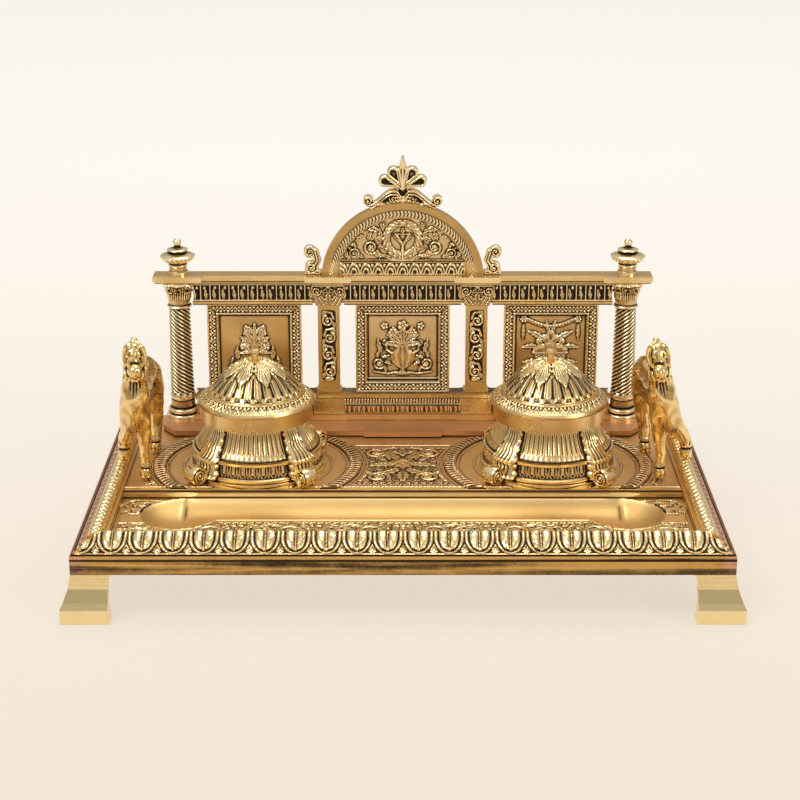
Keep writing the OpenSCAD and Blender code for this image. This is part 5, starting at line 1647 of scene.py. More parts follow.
def column_outline():
    """Radius and height up a column, finely spaced along its shaft and capital."""
    rise = RAIL_Z - STEP_Z - 1.2
    base = [(r + dr, STEP_Z + share * rise) for r, dr, share in ((COLUMN_R, 0, 0), (COLUMN_R, 0, 0.16),
        (COLUMN_R, -0.5, 0.22), (COLUMN_R, -1.4, 0.25), (COLUMN_R, -1.4, 0.3), (COLUMN_R, -0.5, 0.33),
        (COLUMN_R, -0.3, 0.39), (COLUMN_R, -0.6, 0.45), (SHAFT_FOOT_R, 0.2, 0.49), (SHAFT_FOOT_R, 0.2, 0.83),
        (SHAFT_FOOT_R, 0.8, 0.87), (SHAFT_FOOT_R, 0.9, 0.92), (SHAFT_FOOT_R, 0.7, 0.97))]
    shaft = [(SHAFT_FOOT_R, RAIL_Z), (SHAFT_TOP_R, CAPITAL_Z - 2.6)]
    ring = about(SHAFT_TOP_R, CAPITAL_Z, (0.9, -2.2), (1.2, -1.5), (0.7, -0.9), (0.3, -0.6))
    capital = about(SHAFT_TOP_R, CAPITAL_Z, (0.4, 0), (0.8, 6)) \
        + about(COLUMN_R, CORNICE_Z, (-0.9, -2), (0, -1.6), (0, 0))
    return [(0, STEP_Z)] + fine_outline(base, 0.55) + fine_outline(shaft, 0.36) \
        + fine_outline(ring, 0.3) + fine_outline(capital, 0.34) + [(0, CORNICE_Z)]


COLUMN_STRANDS = 11
COLUMN_PITCH = 2.15


def along_shaft(z):
    """1 along the twisted part of a column, 0 over its ends."""
    return ease(z - RAIL_Z - 0.2, 0.3) * ease(CAPITAL_Z - 2.8 - z, 0.3)


def over_shaft(centre_x):
    """A lift that darkens the grooves of a column's shaft and leaves its ends as they are."""
    def lift(points):
        x, y, z = points.T
        reach = hypot(x - centre_x, y - GALLERY_Y)
        shaft = interp(z, [RAIL_Z, CAPITAL_Z - 2.6], [SHAFT_FOOT_R, SHAFT_TOP_R])
        return along_shaft(z) * (1.25 * clip((reach - shaft + 0.3) / 0.45, 0, 1) - 0.9)
    return lift


def column_swell(points, hand):
    """Twisted reeds on the shaft and two tiers of leaves on the capital."""
    x, y, z = points.T
    reach, angle = hypot(x, y), arctan2(y, x)
    strand = 2 * abs(repeat(COLUMN_STRANDS * angle / TAU - hand * z / COLUMN_PITCH, 1.0))
    reeds = along_shaft(z) * (0.78 * rounded(strand, 0.62) - 0.56)
    t = clip((z - CAPITAL_Z - 2.6) / 9.4, 0, 1)
    on_capital = (z > CAPITAL_Z + 2.6) & (z < CORNICE_Z - 0.01)

    def tier(turn, width, head, top, pitch):
        """A ring of eight ribbed leaves, whose round ends start at the height head."""
        cell = repeat(degrees(angle) - turn, 45)
        edge = width * round_end((t - head) / 0.2)
        return ease(edge - abs(cell), 3) * (0.65 + 0.35 * cos(TAU * cell / pitch)) * (t < top)

    corner = repeat(degrees(angle) - 45, 90)
    curl = hypot(np.radians(corner) * reach, (t - 0.82) * 12)
    bulb = rounded(curl, 2.5) * (0.72 + 0.28 * cos(curl * 3.2))
    lip_low, lip_high = ease(t - 0.28, 0.16), ease(t - 0.6, 0.16)
    capital = over(tier(0, 20, 0.28, 0.49, 11) * (0.7 + 0.9 * lip_low),
        tier(22.5, 19, 0.58, 0.79, 10) * (0.5 + 1.1 * lip_high), 2.3 * bulb)
    centre = pearl(np.radians(repeat(degrees(angle), 90)) * reach, (t - 0.86) * 12, 1.3)
    swell = reeds + on_capital * (over(capital, 1.2 * centre) - 0.25)
    return swollen(points, where(reach > 1, swell, 0))


FINIAL_OUTLINE = [(0, 0), (5.3, 0), (5.3, 1.4), (4.7, 1.9), (4.6, 2.4), (4.6, 4.0), (5.0, 4.4), (5.2, 5.0),
    (4.9, 5.5), (4.3, 5.8), (5.4, 6.6), (7.2, 7.4), (8.6, 8.5), (9.1, 9.5), (9.0, 10.1), (8.0, 10.6),
    (6.0, 11.1), (4.7, 11.4), (4.2, 11.8), (4.4, 12.2), (5.2, 12.6), (5.5, 13.0), (5.3, 13.5), (4.4, 13.8),
    (3.0, 14.0), (2.0, 14.4), (1.5, 15.0), (1.6, 15.4), (2.1, 15.9), (2.35, 16.7), (2.3, 17.4), (1.9, 18.1),
    (1.2, 18.7), (0.6, 19.1), (0, 19.4)]


class INKSTAND_OT_columns(bpy.types.Operator):
    """Models the two twisted columns and the finials over them"""

    bl_idname = "inkstand.columns"
    bl_label = "Columns"

    def execute(self, context):
        for side, sign in SIDES:
            column = turned(f"twisted_column_{side}", column_outline(), 192)
            set_points(column, column_swell(points_of(column), sign) + (sign * COLUMN_X, GALLERY_Y, 0))
            settle(column, "gallery", angle=50, passes=3, full=0.13, lift=over_shaft(sign * COLUMN_X))
            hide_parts("column_" + side)
            finial = turned(f"urn_finial_{side}", fine_outline(FINIAL_OUTLINE, 0.45), 128)
            p = points_of(finial)
            x, y, z = p.T
            lobes = 0.8 * rounded(repeat(degrees(arctan2(y, x)), 22.5), 11.5) - 0.55
            p = swollen(p, between(z, 5.9, 9.9, 0.8) * lobes)
            set_points(finial, p + (sign * COLUMN_X, GALLERY_Y, TOP_Z))
            settle(finial, "gallery", angle=50, passes=6, full=0.25, bias=0.05)
            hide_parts("finial_" + side)
        return {"FINISHED"}


# --- pediment, crest and side scrolls ---

FIELD_R = 34.6
WREATH_Z = 135.4
WREATH_R = 8.4


def tympanum_height(x, z):
    """Wreath with a forked torch, between two acanthus scrolls."""
    ax = abs(x)
    dz = z - WREATH_Z
    reach, angle = hypot(x, dz), arctan2(dz, x)
    strands = 0.72 + 0.28 * abs(cos(9 * angle + 1.6 * np.sign(x) * (reach - WREATH_R)))
    wreath = rounded(reach - WREATH_R, 1.9) * strands * ((dz < 7.5) | (ax > 2.4))
    outer = rounded(reach - WREATH_R - 1.6, 0.75) * abs(cos(11 * angle))
    bow = over(leaf(ax, dz, 0.2, 8.6, 30, 4.2, 2.2, 2), pearl(x / 1.7, (dz - 8.4) / 1.5, 1),
        leaf(ax, dz, 0.2, 8.2, 0, 3.6, 1.8, 2))
    torch = over(stem(ax, dz, [(0, -11.6), (0, -3.4), (2.6, 1.4), (3.6, 2.6)], 0.8),
        leaf(ax, dz, 0.6, -1.8, 40, 6, 2.4, 3), stem(ax, dz, [(0, 2.7), (4.2, 2.7)], 0.45),
        leaf(x, dz, 0, 2.8, 90, 3.6, 2.6, 2), leaf(ax, dz, 1.2, -11.4, 42, 7.6, 2.6, 4, -0.2))
    growth = over(scroll_branch(ax, z, 16.6, 131.0, 11.5, 1), scroll_branch(ax, z, 25.6, 127.6, 8.0, -1),
        leaves(ax, z, (9.6, 126.2, 12, 10.5, 3.6, 4, 0.22), (3.6, 124.8, 8, 9, 2.8, 4, 0.18),
        (12.4, 139.6, 28, 9.5, 4.6, 4, -0.3), (15.4, 142.4, -12, 7.4, 3.6, 3, -0.2), (20.6, 136.8, 8, 8.6,
        3.8, 4, -0.3), (24.6, 132.8, 2, 7.4, 3.4, 3, -0.2), (20.2, 125.2, 24, 6.4, 2.6, 3, 0.2),
        (27.2, 124.8, 40, 5.4, 2.4, 3), (11.6, 133.8, 96, 7.4, 3.4, 3, -0.2)), rosette(ax, z, 10.8, 143.6,
        1.7, 5))
    base = over(0.8 * rounded(z - 124.1, 0.4) * (ax > 4), pearl(x / 8.4, (z - 124) / 1.6, 1.0))
    return over(wreath, outer, bow, 0.95 * growth * (reach > WREATH_R + 0.6), 1.05 * torch, base)


def conforming_arch(radius, foot_z, face_y, height):
    """A sheet that fills a round-headed field; its rows run up from the foot to the arch."""
    half = math.sqrt(radius ** 2 - (foot_z - PED_Z) ** 2)

    def surface(u, v):
        x = (2 * u - 1) * half * 0.9995
        top = PED_Z + sqrt(maximum(radius ** 2 - x ** 2, (foot_z + 0.02 - PED_Z) ** 2))
        z = foot_z + v * (top - foot_z)
        edge = minimum(radius - hypot(x, z - PED_Z), z - foot_z)
        return stack([x, face_y - height(x, z) * ease(edge / 0.5), z], 1)
    return surface


def arch_band(r0, r1, face_y, foot_z, height):
    """A sheet bent round the arch, u along it and v outwards."""
    reach = math.asin((foot_z - PED_Z) / r1)

    def surface(u, v):
        angle = math.pi - reach - u * (math.pi - 2 * reach)
        r = r0 + v * (r1 - r0)
        y = face_y - height(r * (math.pi / 2 - angle), v)
        return stack([r * cos(angle), y, PED_Z + r * sin(angle)], 1)
    return surface


def arch_leaves(along, v):
    """Overlapping chevron leaves that climb the arch, between two plain lines."""
    cell = repeat(along, 1.9) / 1.9
    slant = rounded(repeat(along / 1.9 + 1.1 * abs(v - 0.5), 1.0), 0.38)
    seed = pearl(cell * 1.9 / 0.6, (v - 0.5) / 0.2, 1.0)
    inner = between(v, 0.12, 0.86, 0.04)
    lines = over(rounded(v - 0.05, 0.06), rounded(v - 0.94, 0.06))
    return over(0.8 * inner * over(slant, seed), 0.75 * lines)


def chevron_band(x, z, foot, head):
    """Arches with a smaller arch in each, and a dot over where they meet."""
    t = (z - foot) / (head - foot)
    cell = repeat(x, 6.4)
    reach = hypot(cell / 3.1, (t - 0.06) / 0.82)
    chevron = rounded(reach - 0.9, 0.17)
    small = rounded(reach - 0.48, 0.15)
    seed = pearl((abs(cell) - 3.2) / 0.8, (t - 0.72) / 0.16, 1)
    rails = over(rounded(t - 0.03, 0.045), rounded(t - 0.96, 0.045))
    return over((t > 0.05) * over(chevron, 0.85 * small), seed, 0.8 * rails)


def capsule(x, z, ax, az, ra, bx, bz, rb):
    """How far inside a tapered round-ended bar a point lies, in millimetres."""
    span = (bx - ax) ** 2 + (bz - az) ** 2
    t = clip(((x - ax) * (bx - ax) + (z - az) * (bz - az)) / span, 0, 1)
    return ra + t * (rb - ra) - hypot(x - ax - t * (bx - ax), z - az - t * (bz - az))


def cut_out(name, box, cell, inside, height, face_y, depth):
    """A carved plate whose outline is where inside(x, z) is zero."""
    x0, x1, z0, z1 = box
    clear_selection()
    bpy.ops.mesh.primitive_grid_add(x_subdivisions=round((x1 - x0) / cell),
        y_subdivisions=round((z1 - z0) / cell), size=1)
    obj = named(name)
    flat = points_of(obj) * MM + 0.5
    x, z = x0 + flat[:, 0] * (x1 - x0), z0 + flat[:, 1] * (z1 - z0)
    set_points(obj, stack([x, np.full(len(x), face_y), z], 1))
    mode("EDIT")
    bpy.ops.mesh.select_mode(type="VERT")
    pick("DESELECT")
    mode("OBJECT")
    obj.data.vertices.foreach_set("select", inside(x, z) < 0)
    mode("EDIT")
    bpy.ops.mesh.delete(type="VERT")
    pick("SELECT")
    bpy.ops.mesh.delete_loose(use_verts=True, use_edges=True)
    pick_open_edge()
    mode("OBJECT")
    rim = np.empty(len(obj.data.vertices), bool)
    obj.data.vertices.foreach_get("select", rim)
    p = points_of(obj)
    x, z = p[:, X].copy(), p[:, Z].copy()
    step = 0.02
    for _ in range(3):
        f = inside(x, z)
        gx = (inside(x + step, z) - inside(x - step, z)) / (2 * step)
        gz = (inside(x, z + step) - inside(x, z - step)) / (2 * step)
        size = maximum(gx ** 2 + gz ** 2, 0.2)
        x = where(rim, x - clip(f * gx / size, -cell, cell), x)
        z = where(rim, z - clip(f * gz / size, -cell, cell), z)
    set_points(obj, stack([x, face_y - height(x, z), z], 1))
    close_back(obj, (0, depth, 0))
    return obj


# Front and thickness of the crest and the side scrolls
CAST_FRONT, CAST_DEEP = GALLERY_Y - 1.6, 3.4
PALMETTE_Z = CREST_TOP - 16.6
CREST_VOLUTE = (17.9, PALMETTE_Z - 6.9, 2.9)


def palmette(x, z):
    """Insides of the crest's lobes, from the front one to the ones behind it."""
    ax = abs(x)
    middle_lobe = maximum(capsule(ax, z, 0, PALMETTE_Z, 0.8, 0, PALMETTE_Z + 9.2, 2.6),
        capsule(ax, z, 0, PALMETTE_Z + 9.2, 2.6, 0, PALMETTE_Z + 15.7, 0.75))
    upper = capsule(ax, z, 0.6, PALMETTE_Z + 1.2, 0.7, 4.9, PALMETTE_Z + 8.0, 3.3)
    lower = capsule(ax, z, 1.0, PALMETTE_Z + 0.6, 0.7, 9.4, PALMETTE_Z + 3.6, 3.2)
    return middle_lobe, upper, lower


def bracket_path(x):
    """Height of the crest bracket's upper line over the pediment, for x at or over 0."""
    peak = PALMETTE_Z - 1.6
    return peak - 3.2 * (1 - ease(x / 3.4)) - 7.4 * ease(x - 5.0, 12.5)


def crest_inside(x, z):
    lobes = palmette(x, z)
    ax = abs(x)
    vx, vz, vr = CREST_VOLUTE
    bracket = minimum(bracket_path(ax) + 0.9 - z, 17.2 - ax)
    arch = hypot(x, z - PED_Z) - PED_R - 0.02
    body = maximum.reduce([*lobes, bracket, vr - hypot(ax - vx, z - vz), capsule(ax, z, 0, PALMETTE_Z + 1,
        2.6, 0, PALMETTE_Z - 4, 2.6)])
    return minimum(body, arch)


def crest_height(x, z):
    middle_lobe, upper, lower = palmette(x, z)
    ax = abs(x)

    def rim(inside, width):
        return over(rounded(inside - width, width), 0.06 * (inside > 2 * width))

    lobe_m = over(rim(middle_lobe, 0.8), rounded(x, 0.75) * (z > PALMETTE_Z), 0.9 * (z > PALMETTE_Z + 12))
    height = where(middle_lobe > 0, 0.35 + lobe_m, where(upper > 0, 0.15 + rim(upper, 0.9),
        where(lower > 0, rim(lower, 0.9), 0)))
    path = bracket_path(ax)
    under = path - z
    lines = over(rounded(under - 0.1, 0.75), 0.9 * rounded(under - 1.75, 0.6)) * (ax < 17.4)
    vx, vz, vr = CREST_VOLUTE
    curls = over(volute(ax, z, vx, vz, 0.85 * vr, 1.5, -110, 1, 0.3), volute(ax, z, 5.0, PALMETTE_Z - 5.8,
        1.9, 1.4, 20, -1, 0.3))
    low_leaf = over(leaf(ax, z, 0, PALMETTE_Z - 6.2, -8, 4.6, 2.0, 2), leaf(x, z, 0, PALMETTE_Z - 8.6, 90, 4,
        3, 2), leaf(ax, z, 8.5, PALMETTE_Z - 8.4, 0, 6.5, 2.2, 3),
        0.8 * stem(ax, z, [(0, PALMETTE_Z - 5), (3.6, PALMETTE_Z - 4.9)], 0.5))
    star = clip(1 - (abs(x) + abs(z - PALMETTE_Z)) / 2.1, 0, 1) ** 0.6
    below = (z < PALMETTE_Z - 0.4) | ((middle_lobe < 0) & (upper < 0) & (lower < 0))
    return over(height, where(below, over(lines, curls, low_leaf), 0), 1.3 * star)


SCROLL_X = middle("side_scroll_right", X)


def scroll_inside(x, z):
    """Outline of a side scroll: an S with its curl at the top and a rest on the cornice."""
    foot = TOP_Z
    upper = 3.3 - hypot(x - 1.6, z - foot - 12.2)
    neck = maximum(capsule(x, z, -1.2, foot + 12.0, 1.9, -2.4, foot + 7.6, 1.9),
        capsule(x, z, -2.4, foot + 7.6, 1.9, 0.4, foot + 3.4, 2.5))
    lower = 3.6 - hypot(x - 0.8, z - foot - 3.5)
    arch = hypot(x + SCROLL_X, z - PED_Z) - PED_R - 0.1
    body = maximum.reduce([upper, neck, lower, capsule(x, z, -3.4, foot + 1.2, 1.2, 3.6, foot + 1.1, 1.1)])
    return minimum(minimum(body, z - foot), arch)


def scroll_height(x, z):
    foot = TOP_Z
    inside = scroll_inside(x, z)
    rim = 0.9 * rounded(inside - 0.55, 0.6)
    curl = over(volute(x, z, 1.6, foot + 12.2, 2.7, 1.6, 170, -1, 0.3), volute(x, z, 0.8, foot + 3.5, 2.9,
        1.6, 200, 1, 0.3))
    spine = 0.8 * stem(x, z, [(-1.2, foot + 12), (-2.4, foot + 7.6), (0.2, foot + 3.6)], 0.7)
    return over(rim, curl, spine)


class INKSTAND_OT_pediment(bpy.types.Operator):
    """Carves the pediment, its crest and the scrolls beside it"""

    bl_idname = "inkstand.pediment"
    bl_label = "Pediment and crest"

    def execute(self, context):
        # the chevrons stand on foot and reach to head, where the field begins
        foot, head = TOP_Z + 0.2, TOP_Z + 7
        field = carved("tympanum_relief", 290, 138, conforming_arch(FIELD_R, head, PED_FRONT + 1.93,
            lambda x, z: 1.65 * tympanum_height(x, z)), (0, 0.6, 0))
        settle(field, "gallery", passes=4, full=0.22, bias=0.07)
        band = carved("arch_leaf_band", 620, 28, arch_band(FIELD_R + 0.2, FIELD_R + 5, PED_FRONT + 0.94, foot,
            lambda s, v: 0.7 * arch_leaves(s, v)), (0, 1.2, 0))
        settle(band, "gallery", passes=5, full=0.19, bias=0.06)
        half = math.sqrt(FIELD_R ** 2 - (head - PED_Z) ** 2)
        chevrons = upright("pediment_chevrons", -half, half, foot, head, PED_FRONT + 0.5,
            lambda x, z: 0.8 * chevron_band(x, z, foot, head), 0.2, 1.2)
        settle(chevrons, "gallery", passes=6, full=0.16)
        crest = cut_out("palmette_crest", (-22, 22, PALMETTE_Z - 17, CREST_TOP + 0.3), 0.19, crest_inside,
            lambda x, z: 1.35 * crest_height(x, z), CAST_FRONT, CAST_DEEP)
        settle(crest, "gallery", passes=9, full=0.24, bias=0.02, lift=in_front(CAST_FRONT, 0.8, 0.5))
        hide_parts("crest")
        scroll = cut_out("side_scroll_right_carved", (-7, 7, TOP_Z, TOP_Z + 16), 0.17, scroll_inside,
            lambda x, z: 1.1 * scroll_height(x, z), CAST_FRONT, CAST_DEEP)
        set_points(scroll, points_of(scroll) + (SCROLL_X, 0, 0))
        twin = mirrored(scroll, "side_scroll_left_carved")
        for piece, side in ((scroll, "right"), (twin, "left")):
            settle(piece, "gallery", passes=6, full=0.2)
            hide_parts("side_scroll_" + side)
        return {"FINISHED"}


# ---------- goats ----------

# The goats' own frame: x outwards from the inner front hoof, y back, z up from the deck
GOAT_PLACE = (TRAY_X - 23.6, TRAY_REAR - 93, DECK_Z)
GOAT_TURN = {"left": 0.0, "right": 4.0}
GOAT_LEAN = {"left": 0.0, "right": 0.13}
# How far the outer legs reach out beyond the inner frame, in millimetres
GOAT_STRIDE = {"left": -2.0, "right": 1.2}
ANKLE_H = 14
HEAD_X = 2.0
SPINE_X = 3.8
# Chains of (x, y, z, radius), drawn out as smooth limbs
GOAT_LIMBS = {
    "trunk": [(3.6, 36, 46.6, 7.0), (3.7, 30, 47.2, 7.8), (3.8, 20, 45.8, 7.3), (4.0, 11, 45.4, 7.7),
        (3.9, 3, 45.2, 7.4), (3.8, -1, 44.4, 6.8)],
    "belly": [(3.8, 5, 36, 6.6), (3.9, 14, 36.4, 6.0), (3.8, 26, 37, 6.4), (3.7, 33, 37, 6.6)],
    "breast": [(3.7, -1.4, 49, 6.4), (3.8, -2.3, 43.5, 6.7), (4.0, -1.8, 37.6, 6.6), (4.4, -0.6, 32.4, 5.8),
        (4.8, 0.8, 28.8, 4.4)],
    "neck": [(3.7, 3, 47, 7.0), (3.2, -1, 54, 6.2), (2.6, -4, 60, 5.2), (2.1, -5.4, 66.6, 4.6)],
    "skull": [(2, -4.6, 69.8, 4.2), (2, -7.6, 70.0, 4.0), (1.8, -10.2, 68.2, 3.1)],
    "muzzle": [(1.8, -10, 67.2, 2.8), (1.4, -12.2, 65.0, 2.5), (1.1, -14.2, 62.4, 3.3)],
    "ball": [(1.0, -14.9, 62.2, 3.7), (1.0, -15.0, 62.0, 3.8)],
    "knob": [(2, -5.6, 72.8, 2.5), (2, -5.0, 74.6, 1.9)],
    "beard": [(1.8, -9.4, 60.8, 3.0), (1.9, -8.4, 58.2, 3.0), (2.2, -6.4, 55.8, 2.8)],
    "leg_in": [(2.1, 0.6, 42, 6.2), (1.5, 0.2, 35, 5.6), (0.7, 0.5, 28.6, 4.6), (0.2, 0.6, 22, 3.6),
        (0, 0.6, 15.4, 2.8), (0, 0.3, 9, 2.6), (0, -0.1, 6.2, 2.9), (0, -0.6, 3.3, 3.1)],
    "leg_out": [(5.6, 0.4, 41, 6.2), (6.6, 1.0, 34, 5.6), (8.5, 2.9, 28.2, 4.9), (11.0, 5.9, 23.2, 4.1),
        (12.9, 8.6, 18.4, 3.5), (13.6, 9.4, 14.4, 3.1), (13.6, 9.2, 9.8, 3.3)],
    "hind_in": [(0.8, 34.4, 45, 6.6), (0.0, 36.0, 37, 6.4), (-0.5, 38.6, 27.6, 5.2), (-0.9, 39.4, 18, 3.8),
        (-0.8, 37.4, 9, 2.9), (-0.8, 35.7, 3.3, 3.1)],
    "hind_out": [(6.9, 34.4, 46, 6.4), (8.6, 36.2, 37, 5.6), (10.8, 39.2, 27.4, 4.5), (12.8, 39.0, 18, 3.3),
        (13.6, 37.6, 9.8, 3.1)],
    "tail": [(3.6, 41.4, 50, 2.3), (3.6, 43.8, 45.6, 2.0), (3.5, 44.2, 40, 1.6)],
}
MUZZLE_BALL = GOAT_LIMBS["ball"][-1]
# These run down both sides of the head, given for the outer side
HEAD_PAIRS = {
    "horn": [(1.0, -6.6, 73.8, 1.2), (2.6, -7.4, 73.2, 1.2), (4.1, -7.2, 71.4, 1.25), (4.9, -6.8, 68.4, 1.3),
        (4.7, -7.4, 65.0, 1.3), (3.9, -8.6, 62.8, 1.1)],
    "brow": [(1.3, -10.8, 71.2, 0.9), (2.6, -11.1, 69.9, 0.9), (3.3, -11.4, 68.4, 0.8)],
    "cheek": [(2.5, -8.6, 66.4, 1.7), (2.2, -9.6, 63.6, 1.5)],
    "ruff": [(4.5, -5.2, 63.0, 1.6), (4.4, -6.8, 60.0, 1.6), (3.2, -8.8, 57.6, 1.6), (1.2, -9.8, 56.4, 1.6),
        (0, -10.1, 56.0, 1.6)],
}


def drawn_out(chain, spacing=0.32):
    """Balls along a smooth curve through a chain, spaced by a share of their radius."""
    points = np.array(chain, float)
    keys = np.arange(len(points))
    balls, t = [], 0.0
    while t <= keys[-1]:
        i = min(int(t), len(points) - 2)
        f = t - i
        before, after = points[max(i - 1, 0)], points[min(i + 2, len(points) - 1)]
        a, b = points[i], points[i + 1]
        here = 0.5 * (2 * a + (b - before) * f + (2 * before - 5 * a + 4 * b - after) * f ** 2
            + (3 * a - before - 3 * b + after) * f ** 3)
        balls.append(here)
        t += spacing * max(here[3], 0.8) / max(np.linalg.norm((b - a)[:3]), 0.5)
    balls.append(points[-1])
    return balls


def goat_balls():
    balls = []
    for chain in GOAT_LIMBS.values():
        balls += drawn_out(chain)
    for chain in HEAD_PAIRS.values():
        for hand in (-1, 1):
            balls += drawn_out([(HEAD_X + hand * x, y, z, r) for x, y, z, r in chain])
    return balls


def scored(points, path, half, depth):
    """How deep a groove along a path cuts in at each point, in millimetres."""
    best = np.full(len(points), 1e9)
    for a, b in zip(path[:-1], path[1:]):
        a, b = np.array(a, float), np.array(b, float)
        t = clip((points - a) @ (b - a) / ((b - a) @ (b - a)), 0, 1)
        best = minimum(best, np.linalg.norm(points - a - t[:, None] * (b - a), axis=1))
    return depth * clip(1 - (best / half) ** 2, 0, 1)


# Lines on the goats' heads, as (path, half width, depth, darkness), for the outer side
HEAD_LINES = [
    ([(0, -13.6, 66.0), (2.0, -12.6, 65.8)], 0.5, 0.4, 0.6),
    ([(2.6, -12.0, 65.4), (4.2, -12.2, 62.4), (3.4, -12.6, 58.8), (0, -13.4, 57.4)], 0.7, 0.4, 0.5),
    ([(1.75, -13.2, 67.8), (1.85, -11.6, 70.4), (1.4, -9.8, 73)], 0.45, 0.35, 0.4),
    ([(3.4, -9.6, 72.4), (3.8, -9.0, 68.6), (3.6, -9.8, 65.0)], 0.5, 0.5, 0.6),
    ([(3.2, -10.6, 68.4), (3.5, -10.0, 67.8)], 1.2, 0.9, 1.0),
    ([(0, -11.6, 57.0), (2.4, -10.8, 57.8), (3.9, -8.8, 61.0)], 0.7, 0.6, 0.5),
    ([(0, -10.6, 54.4), (2.6, -9.6, 55.0), (5.0, -6.4, 57.4)], 0.7, 0.5, 0.9),
    ([(1.3, -18.2, 63.2), (1.7, -17.8, 62.7)], 0.45, 0.4, 0.6),
    ([(0, -17.8, 59.0), (1.9, -16.6, 59.2), (3.0, -14.4, 60.2)], 0.5, 0.35, 0.6),
]


def goat_details(points):
    """Rise of the surface and its darkness, for the face, ruff, coat, fetlocks and hooves."""
    x, y, z = points.T
    hx = x - HEAD_X
    paired = stack([abs(hx), y, z], 1)
    rise, dark = np.zeros(len(x)), np.zeros(len(x))
    for path, half, depth, tone in HEAD_LINES:
        line = scored(paired, path, half, 1.0)
        rise -= depth * line
        dark = maximum(dark, tone * scored(paired, path, 1.25 * half, 1.0))
    eye = scored(paired, [(3.3, -10.6, 68.1), (3.35, -10.5, 68.0)], 0.6, 1.0)
    rise += 0.7 * eye
    dark -= 0.9 * eye
    # the ball of the muzzle stands clear of the face
    ball = np.linalg.norm(points - np.array(MUZZLE_BALL[:3]), axis=1) - MUZZLE_BALL[3]
    ring = rounded(ball - 0.55, 0.7) * (y < -7.5)
    rise -= 0.3 * ring
    dark = where(ball < 0.12, 0.5 * dark - 0.1, maximum(dark, 0.65 * ring))
    # locks of the ruff
    on_ruff = between(z, 53.8, 64.2, 1.4) * ease(-2.5 - y, 2) * ease(-y - 0.9 * (z - 58) - 3, 2)
    lock = sin(2.9 * hx + 1.2 * sin(0.9 * z))
    rise += 0.28 * on_ruff * lock
    dark += 0.4 * on_ruff * ease(-0.35 - lock, 0.4) * ease(abs(hx) - 1.6, 1.4)
    # short grooves down the neck under the ruff
    for gx, length in ((2.6, 5.5), (0.9, 8.5), (-0.5, 7.0), (-2.2, 4.5)):
        across = abs(x - HEAD_X - gx - 0.06 * (54 - z))
        stroke = clip(1 - (across / 0.5) ** 2, 0, 1) * ease(54.2 - z, 0.8)
        stroke = stroke * ease(z - 54 + length, 2) * (y < -3)
        rise -= 0.35 * stroke
        dark = maximum(dark, 0.85 * stroke)
    # coat: long upright locks on the flanks and over the rump, dark in their grooves, and a little painted
    # shade over the whole flank
    flank = ease(abs(x - SPINE_X) - 3.0, 2.2) * between(z, 10, 55, 6) * ease(y - 5, 5)
    locks = abs(sin(1.7 * x + 1.0 * y + 0.8 * sin(0.3 * z + 0.2 * y) + 0.4 * sin(0.8 * z)))
    rise += 0.13 * flank * (locks ** 0.6 - 0.6)
    dark += flank * (0.08 + 0.3 * ease(0.26 - locks, 0.26))
    # slow unevenness of the cast, and painted shade, streaked with darker strokes, in the hollow where the
    # forelegs part
    swell = sin(0.7 * x + 0.9 * sin(0.5 * z + 0.4 * y)) * sin(0.55 * z + 0.8 * sin(0.6 * x))
    body = ease(57 - z, 3)
    rise += 0.16 * body * swell
    dark -= 0.1 * body * swell
    # painted shade under the chest, where the forelegs part
    hollow = between(z, 18, 37, 5, 7) * ease(6 - abs(x - 4.8), 2.5) * ease(4 - y, 3)
    strokes = abs(sin(1.9 * x + 0.5 * z + 0.9 * sin(1.1 * z)))
    dark += hollow * (0.12 + 0.5 * ease(0.35 - strokes, 0.25))
    # fetlock rings and hooves
    for fx, fy, fz in ((0, -0.3, 6.6), (-0.8, 36.3, 6.6), (13.6, 9.3, 13.2), (13.6, 37.7, 13.2)):
        near = ease(5.4 - hypot(x - fx, y - fy), 1.0)
        ring = near * rounded(z - fz, 0.7)
        rise += near * (0.25 * rounded(z - fz - 1.4, 0.9) - 0.4 * rounded(z - fz, 0.6))
        dark = maximum(dark, 0.55 * ring)
        for gx in (-1.5, 1.5):
            tuft = [(fx + gx, fy - 3.0, fz + 1.6), (fx + 1.2 * gx, fy - 2.4, fz + 6.0)]
            rise -= scored(points, tuft, 0.5, 0.3)
            dark = maximum(dark, scored(points, tuft, 0.6, 0.6))
        cleft = [(fx, fy - 4, fz - 2.2), (fx, fy - 3, fz - 5.4)]
        rise -= scored(points, cleft, 0.45, 0.5)
        dark = maximum(dark, scored(points, cleft, 0.6, 0.7))
    return rise, dark


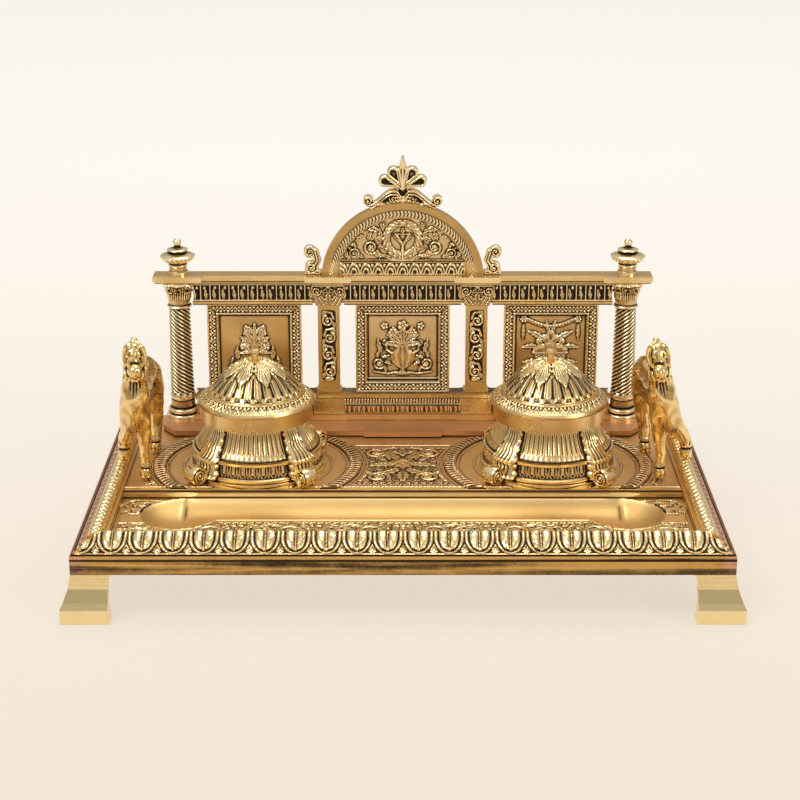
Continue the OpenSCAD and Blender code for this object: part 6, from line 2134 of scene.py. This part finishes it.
class INKSTAND_OT_goats(bpy.types.Operator):
    """Models the pair of standing goats"""

    bl_idname = "inkstand.goats"
    bl_label = "Goats"
    # how dark the patina and the painted shade lie on each point of the master
    dark = None

    def execute(self, context):
        master = self.body()
        for side, sign in SIDES:
            piece = copied(master, f"goat_carved_{side}", lambda p, s=side, k=sign: self.placed(p, s, k))
            if sign < 0:
                in_edit(piece, bpy.ops.mesh.flip_normals)
            settle(piece, "goat", angle=60, passes=6, full=0.36, bias=0.1, lift=lambda p: -self.dark)
            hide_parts("goat_" + side)
        bpy.data.objects.remove(master)
        return {"FINISHED"}

    def body(self):
        clear_selection()
        balls = goat_balls()
        self.add_ball(*balls[0])
        bpy.ops.object.transform_apply(location=True)
        goat = named("goat_master")
        mode("EDIT")
        for ball in balls[1:]:
            self.add_ball(*ball)
        mode("OBJECT")
        skin = goat.modifiers.new("skin", "REMESH")
        skin.mode, skin.voxel_size = "VOXEL", 0.5 * MM
        soft = goat.modifiers.new("soft", "SMOOTH")
        soft.factor, soft.iterations = 0.5, 4
        apply_modifiers(goat)
        self.blend_joins(goat)
        p = points_of(goat)
        rise, INKSTAND_OT_goats.dark = goat_details(p)
        p = p + normals_of(goat.data) * rise[:, None]
        # the outer hooves stand on the rope bead, the inner ones on the deck
        p[:, Z] = maximum(p[:, Z], where(p[:, X] > 9, BORDER_H - 0.9, 0.75))
        set_points(goat, p)
        return goat

    def add_ball(self, x, y, z, r):
        bpy.ops.mesh.primitive_ico_sphere_add(subdivisions=3 if r > 3 else 2, radius=r * MM,
            location=metres(x, y, z))

    def blend_joins(self, goat):
        """Rounds out where limbs, neck and trunk meet, more than the head and the hooves."""
        a, b = edge_ends(goat.data)
        p = points_of(goat)
        share = ease(p[:, Z] - 17, 8) * ease(56 - p[:, Z], 6)
        for _ in range(2):
            soft = softened(p, a, b, 16)
            p = p + share[:, None] * (soft - p)
        set_points(goat, p)

    def placed(self, points, side, sign):
        x, y, z = points.T
        x = x - GOAT_LEAN[side] * maximum(0, z - ANKLE_H)
        x = x + GOAT_STRIDE[side] * ease(x - 5, 5) * ease(34 - z, 12)
        a = math.radians(GOAT_TURN[side])
        gx, gy, gz = GOAT_PLACE
        return stack([sign * (gx + x * math.cos(a) - y * math.sin(a)), gy + x * math.sin(a) + y * math.cos(a),
            gz + z], 1)


class INKSTAND_OT_frame(bpy.types.Operator):
    """Gives the cast and turned pieces of the frame their finish"""

    bl_idname = "inkstand.frame"
    bl_label = "Cast pieces"

    def execute(self, context):
        # the first part of a name that fits says which finish a node gets
        finishes = (("screws", "steel"), ("hinge_pin", "steel"), ("ink_pot", "glass"), ("foot", "foot"),
            ("base_tray", "tray"), ("lid", "polished"), ("goat", "polished"), ("", "plain"))
        for name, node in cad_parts.items():
            dress(node, next(given for part, given in finishes if part in name))
        return {"FINISHED"}


class INKSTAND_PT_panel(bpy.types.Panel):
    """Lists the inkstand's settings and the steps that build it"""

    bl_idname = "INKSTAND_PT_panel"
    bl_label = "Desk Inkstand"
    bl_space_type = "VIEW_3D"
    bl_region_type = "UI"
    bl_category = "Inkstand"

    def draw(self, context):
        for settings in (context.scene.inkstand_sizes, context.scene.inkstand_finish):
            for name in settings.__annotations__:
                self.layout.prop(settings, name)
        for operator in OPERATORS:
            self.layout.operator(operator.bl_idname)


OPERATORS = [INKSTAND_OT_stage, INKSTAND_OT_frame, INKSTAND_OT_tray, INKSTAND_OT_inkwells, INKSTAND_OT_lids,
    INKSTAND_OT_plaques, INKSTAND_OT_gallery_carving, INKSTAND_OT_columns, INKSTAND_OT_pediment,
    INKSTAND_OT_goats]
CLASSES = [InkstandSizes, InkstandFinish] + OPERATORS + [INKSTAND_PT_panel]


def register():
    for cls in CLASSES:
        bpy.utils.register_class(cls)
    bpy.types.Scene.inkstand_sizes = PointerProperty(type=InkstandSizes)
    bpy.types.Scene.inkstand_finish = PointerProperty(type=InkstandFinish)


def unregister():
    del bpy.types.Scene.inkstand_finish
    del bpy.types.Scene.inkstand_sizes
    for cls in reversed(CLASSES):
        bpy.utils.unregister_class(cls)


def main():
    register()
    make_materials()
    for operator in OPERATORS:
        group, name = operator.bl_idname.split(".")
        getattr(getattr(bpy.ops, group), name)()


if __name__ == "__main__":
    main()
